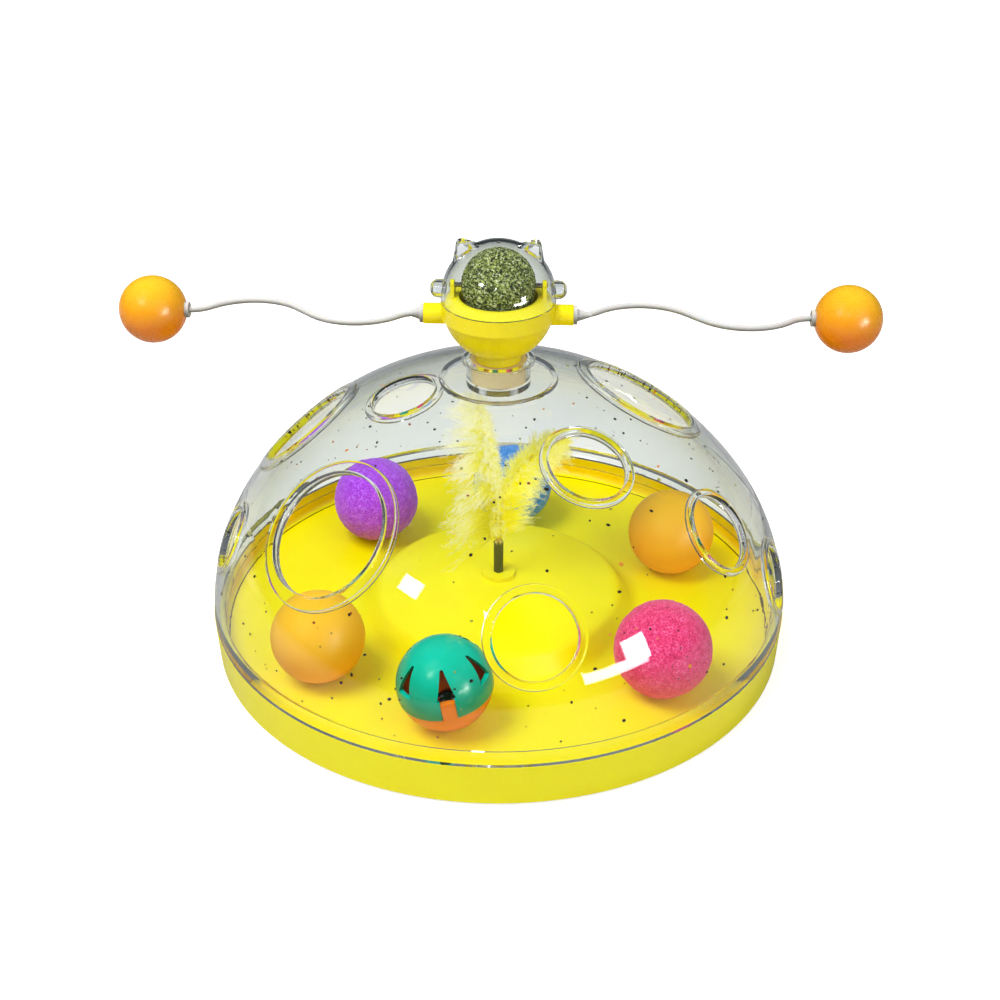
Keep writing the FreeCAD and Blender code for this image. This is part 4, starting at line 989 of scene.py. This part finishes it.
@dataclass
class DomeFlecks:
    """Chips of coloured plastic that were stirred into the clear dome."""

    count: int = 300
    wall_mm: float = 2.4
    low_radius_mm: float = 95.0
    spring_mm: float = 15.5
    bend_deg: float = 35.5
    low_climb_deg: float = 8.0
    high_climb_deg: float = 76.0
    small_mm: float = 0.34
    large_mm: float = 0.95
    size_power: float = 1.5
    slack_mm: float = 0.1
    seed: int = 21

    def build(self) -> None:
        """Scatter the chips through the middle of the dome's wall, as one piece."""
        tray_low, tray_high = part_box("base_tray")
        low_radius = self.low_radius_mm * MM
        side = (tray_high.x - tray_low.x) / 2 - low_radius
        bend = math.radians(self.bend_deg)
        top_radius = low_radius + side / math.cos(bend)
        top_centre = self.spring_mm * MM - side * math.tan(bend)
        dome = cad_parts["dome_cover"].data
        wall = BVHTree.FromPolygons([v.co for v in dome.vertices], [p.vertices for p in dome.polygons])
        low_sine = math.sin(math.radians(self.low_climb_deg))
        high_sine = math.sin(math.radians(self.high_climb_deg))
        half = self.wall_mm * MM / 2
        chance = Random(self.seed)
        shape = bmesh.new()
        made = 0
        while made < self.count:
            climb = math.asin(chance.uniform(low_sine, high_sine))
            angle = chance.uniform(0, math.tau)
            size = self.small_mm + (self.large_mm - self.small_mm) * chance.random() ** self.size_power
            colour = chance.random()
            if climb > bend:
                out = (top_radius - half) * math.cos(climb)
                up = top_centre + (top_radius - half) * math.sin(climb)
            else:
                out = side + (low_radius - half) * math.cos(climb)
                up = self.spring_mm * MM + (low_radius - half) * math.sin(climb)
            spot = Vector((out * math.cos(angle), out * math.sin(angle), up))
            _, _, _, depth = wall.find_nearest(spot)
            if abs(depth - half) > self.slack_mm * MM:
                continue
            self.add_chip(shape, spot, size * MM, self.slot_of(colour), chance)
            made += 1
        mesh = bpy.data.meshes.new("dome_flecks")
        shape.to_mesh(mesh)
        shape.free()
        piece = new_piece("dome_flecks", mesh)
        for fleck in Fleck:
            code = fleck.value[0]
            finish = MouldedPlastic(f"{fleck.name.lower()}_pigment_fleck", code, code, 0.5)
            piece.data.materials.append(finish.material())
        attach(piece, "dome")

    def slot_of(self, draw: float) -> int:
        """Pick a fleck's colour.

        Args:
            draw: A number from 0 to 1.

        Returns:
            The number of its material.
        """
        total = 0.0
        for index, fleck in enumerate(Fleck):
            total += fleck.value[1]
            if draw < total:
                return index
        return 0

    def add_chip(self, shape: BMesh, spot: Vector, size: float, slot: int, chance: Random) -> None:
        """Add one rounded chip.

        Args:
            shape: The mesh to add to.
            spot: The chip's middle.
            size: Its radius.
            slot: The number of its material.
            chance: The source of its shape.
        """
        least, widest, highest = 0.6, 1.2, 1.0
        sizes = [chance.uniform(least, most) for most in (widest, widest, highest)]
        stretch = Matrix.Diagonal((*sizes, 1))
        spin = Matrix.Rotation(chance.uniform(0, math.tau), 4, "Z")
        before = len(shape.faces)
        bmesh.ops.create_icosphere(
            shape, subdivisions=2, radius=size, matrix=Matrix.Translation(spot) @ spin @ stretch
        )
        shape.faces.ensure_lookup_table()
        for index in range(before, len(shape.faces)):
            shape.faces[index].material_index = slot


def flat_piece(name: str, wide: float, high: float) -> Object:
    """Put a flat rectangle in the scene.

    Args:
        name: The piece's name.
        wide: Its size along X.
        high: Its size along Y.

    Returns:
        The new object.
    """
    x, y = wide / 2, high / 2
    mesh = bpy.data.meshes.new(name)
    mesh.from_pydata([(-x, -y, 0), (x, -y, 0), (x, y, 0), (-x, y, 0)], [], [(0, 1, 2, 3)])
    return new_piece(name, mesh)


@dataclass(frozen=True)
class PanelGlow(Finish):
    """The even light of a bright panel."""

    strength: float

    def shade(self, tree: Wiring) -> Node:
        """Build the light."""
        return tree.add("Emission", {"Strength": self.strength})


@dataclass(frozen=True)
class TableLaminate(Finish):
    """White laminate, pressed smooth: to the camera it is white and keeps the toy's shadow."""

    glow: float = 0.55
    # Beyond this Y the floor lies behind the toy.
    far: float = 0.15
    mottle_mm: float = 60.0

    def shade(self, tree: Wiring) -> Node:
        """Build the shader.

        Args:
            tree: The material's wiring.

        Returns:
            The shader's node.
        """
        mottle = tree.add(
            "TexNoise", {"Vector": tree.coords, "Scale": per_metre(self.mottle_mm), "Detail": 3.0}
        )
        tone = tree.add("ValToRGB", {"Fac": mottle}, stops=((0.3, "#F1F1F1"), (0.7, "#F6F6F6")))
        path = tree.add("LightPath")
        matt = tree.add("BsdfDiffuse", {"Color": tone})
        dim = tree.add("BsdfDiffuse", {"Color": linear("#C4C4C4")})
        # The toy mirrors the dim floor, but the inside of a clear wall shows the bright floor behind it.
        echo = tree.add("Math", {0: path.outputs["Glossy Depth"], 1: MIRRORED}, operation="GREATER_THAN")
        axes = tree.add("SeparateXYZ", {"Vector": tree.coords})
        near = tree.add("Math", {0: axes.outputs["Y"], 1: self.far}, operation="LESS_THAN")
        mirrored = tree.add("Math", {0: echo, 1: near}, operation="MULTIPLY")
        bounced = tree.add("Math", {0: path.outputs["Is Diffuse Ray"], 1: mirrored}, operation="MAXIMUM")
        laminate = tree.add("MixShader", {0: bounced, 1: matt, 2: dim})
        glow = tree.add("Emission", {"Strength": self.glow})
        dark = tree.add("Emission", {"Strength": 0.0})
        seen = tree.add("MixShader", {0: path.outputs["Is Camera Ray"], 1: dark, 2: glow})
        return tree.add("AddShader", {0: laminate, 1: seen})


@dataclass(frozen=True)
class BrightPanel:
    """A bright panel off to one side, seen only where something glossy mirrors it."""

    name: str
    turn_deg: float
    climb_deg: float
    wide: float
    high: float
    strength: float
    distance: float = 1.3
    aim: Spot = (0.0, -0.1, 0.07)

    def build(self) -> None:
        """Hang the panel, facing the toy."""
        turn = math.radians(self.turn_deg)
        climb = math.radians(self.climb_deg)
        level = math.cos(climb)
        toward = Vector((math.sin(turn) * level, -math.cos(turn) * level, math.sin(climb)))
        panel = flat_piece(self.name, self.wide, self.high)
        panel.location = Vector(self.aim) + toward * self.distance
        panel.rotation_euler = toward.to_track_quat("Z", "Y").to_euler()
        dress(panel, PanelGlow(self.name, self.strength))
        panel.visible_camera = False
        panel.visible_diffuse = False
        panel.visible_shadow = False


@dataclass
class Studio:
    """A white table with soft light from above and a camera at the photograph's angle."""

    camera_spot: Spot = (0.0, -0.61597, 0.43100)
    camera_tilt_deg: float = 59.304
    lens_mm: float = 57.955
    sensor_mm: float = 36.0
    shift_x: float = 0.0015
    clip_start: float = 0.01
    floor_size: float = 8.0
    room_light: float = 0.48
    room_behind_glass: float = 0.86

    def build(self) -> None:
        """Build the camera, the floor, the room, the lamps and the bright panels."""
        self.add_camera()
        self.add_floor()
        self.add_room()
        self.add_lamp("key_softbox", (-0.55, -0.35, 1.15), (0, 0, 0.05), 0.6, 11.5)
        self.add_lamp("fill_softbox", (0.7, -0.9, 0.8), (0, 0, 0.08), 0.8, 5.0)
        panels = (
            BrightPanel("left_window", -49.0, 44.5, 0.20, 0.14, 20.0),
            BrightPanel("small_window", -7.5, 43.3, 0.075, 0.06, 22.0),
            BrightPanel("right_window", 55.5, 12.5, 0.22, 0.28, 26.0),
            BrightPanel("right_sill", 46.0, 7.3, 0.6, 0.12, 16.0),
        )
        for panel in panels:
            panel.build()
        bpy.context.scene.view_settings.view_transform = "Standard"

    def add_camera(self) -> None:
        """Place the camera where the photograph was taken from."""
        lens = bpy.data.cameras.new("camera")
        lens.sensor_width = self.sensor_mm
        lens.lens = self.lens_mm
        lens.shift_x = self.shift_x
        lens.clip_start = self.clip_start
        camera = bpy.data.objects.new("camera", lens)
        camera.location = self.camera_spot
        camera.rotation_euler = (math.radians(self.camera_tilt_deg), 0, 0)
        bpy.context.scene.collection.objects.link(camera)
        bpy.context.scene.camera = camera

    def add_floor(self) -> None:
        """Lay a white table top that keeps the toy's shadow and sends little light back up."""
        floor = flat_piece("floor", self.floor_size, self.floor_size)
        dress(floor, TableLaminate("white_table_laminate"))

    def add_room(self) -> None:
        """Surround the toy with a room: white to the camera, grey and uneven in what the toy mirrors."""
        world = bpy.data.worlds.new("studio")
        bpy.context.scene.world = world
        tree = Wiring(world, "Generated")
        path = tree.add("LightPath")
        axes = tree.add("SeparateXYZ", {"Vector": tree.coords})
        walls = tree.add(
            "ValToRGB",
            {"Fac": axes.outputs["Z"]},
            stops=(
                (0.0, "#3C3F40"), (0.12, "#1C1E20"), (0.35, "#43474A"),
                (0.75, "#7B7F81"), (1.0, "#616466"),
            ),
        )
        mirrored = tree.add("Background", {"Color": walls, "Strength": 1.0})
        soft, white, behind = (
            tree.add("Background", {"Color": linear("#FFFFFF"), "Strength": strength})
            for strength in (self.room_light, 1.0, self.room_behind_glass)
        )
        mirror = tree.add("MixShader", {0: path.outputs["Is Glossy Ray"], 1: soft, 2: mirrored})
        through = tree.add("MixShader", {0: path.outputs["Is Transmission Ray"], 1: mirror, 2: behind})
        # A ray mirrored under the dome leaves it as a ray through glass, yet it must see the grey room.
        echo = tree.add("Math", {0: path.outputs["Glossy Depth"], 1: MIRRORED}, operation="GREATER_THAN")
        inside = tree.add("MixShader", {0: echo, 1: through, 2: mirrored})
        straight = tree.add("MixShader", {0: path.outputs["Is Camera Ray"], 1: inside, 2: white})
        tree.add("OutputWorld", {"Surface": straight})

    def add_lamp(self, name: str, spot: Spot, aim: Spot, size: float, watts: float) -> None:
        """Hang one square softbox that nothing mirrors.

        Args:
            name: The lamp's name.
            spot: Where it hangs.
            aim: What it points at.
            size: The length of its sides.
            watts: Its power.
        """
        light = bpy.data.lights.new(name, "AREA")
        light.shape = "SQUARE"
        light.size = size
        light.energy = watts
        lamp = bpy.data.objects.new(name, light)
        lamp.location = spot
        lamp.rotation_euler = (Vector(aim) - Vector(spot)).to_track_quat("-Z", "Y").to_euler()
        lamp.visible_glossy = False
        lamp.visible_transmission = False
        bpy.context.scene.collection.objects.link(lamp)


def main() -> None:
    """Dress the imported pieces, build the soft ones and set up the studio."""
    logging.basicConfig(level=logging.INFO, format="%(message)s")
    Studio().build()
    for part, nodes in KEPT_NODES.items():
        for node in nodes:
            dress(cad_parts[node], part.value)
            LOG.info("dressed %s in %s", node, part.value.name)
    # Each foam's colour, then the painted shade of its pores and the painted light of its cell rims.
    foams = (
        FoamBall("purple", ("#B248F0", "#8A30C8", "#C676FC"), 3.1),
        FoamBall("pink", ("#FA3C7A", "#C82A5A", "#FF70A8"), 7.7),
        FoamBall("blue", ("#3F8FE0", "#2368B8", "#6DB2F4"), 11.9),
    )
    for foam in foams:
        foam.build()
    HerbBall().build()
    Plume(
        "left",
        -1.0,
        (8.8, 111.0),
        "plume_cream",
        DyedDown("cream_marabou_down", "#DCD200", "#F0EC48", "#FBF9E0"),
        long_mm=(31.0, 21.0),
        climb_deg=(-32.0, 60.0),
        climb_power=3.0,
        inner_share=0.3,
        barbule_mm=2.6,
        pale_tip=0.58,
        seed=5,
    ).build()
    Plume(
        "right",
        1.0,
        (29.0, 96.0),
        "plume_yellow",
        DyedDown("yellow_marabou_down", "#F6EC00", "#FAF430", "#FBF9A8"),
        long_mm=(19.0, 13.5),
        climb_deg=(10.0, 36.0),
        climb_power=1.0,
        inner_share=0.62,
        barbule_mm=2.0,
        pale_tip=0.5,
        seed=9,
    ).build()
    DomeFlecks().build()


if __name__ == "__main__":
    main()
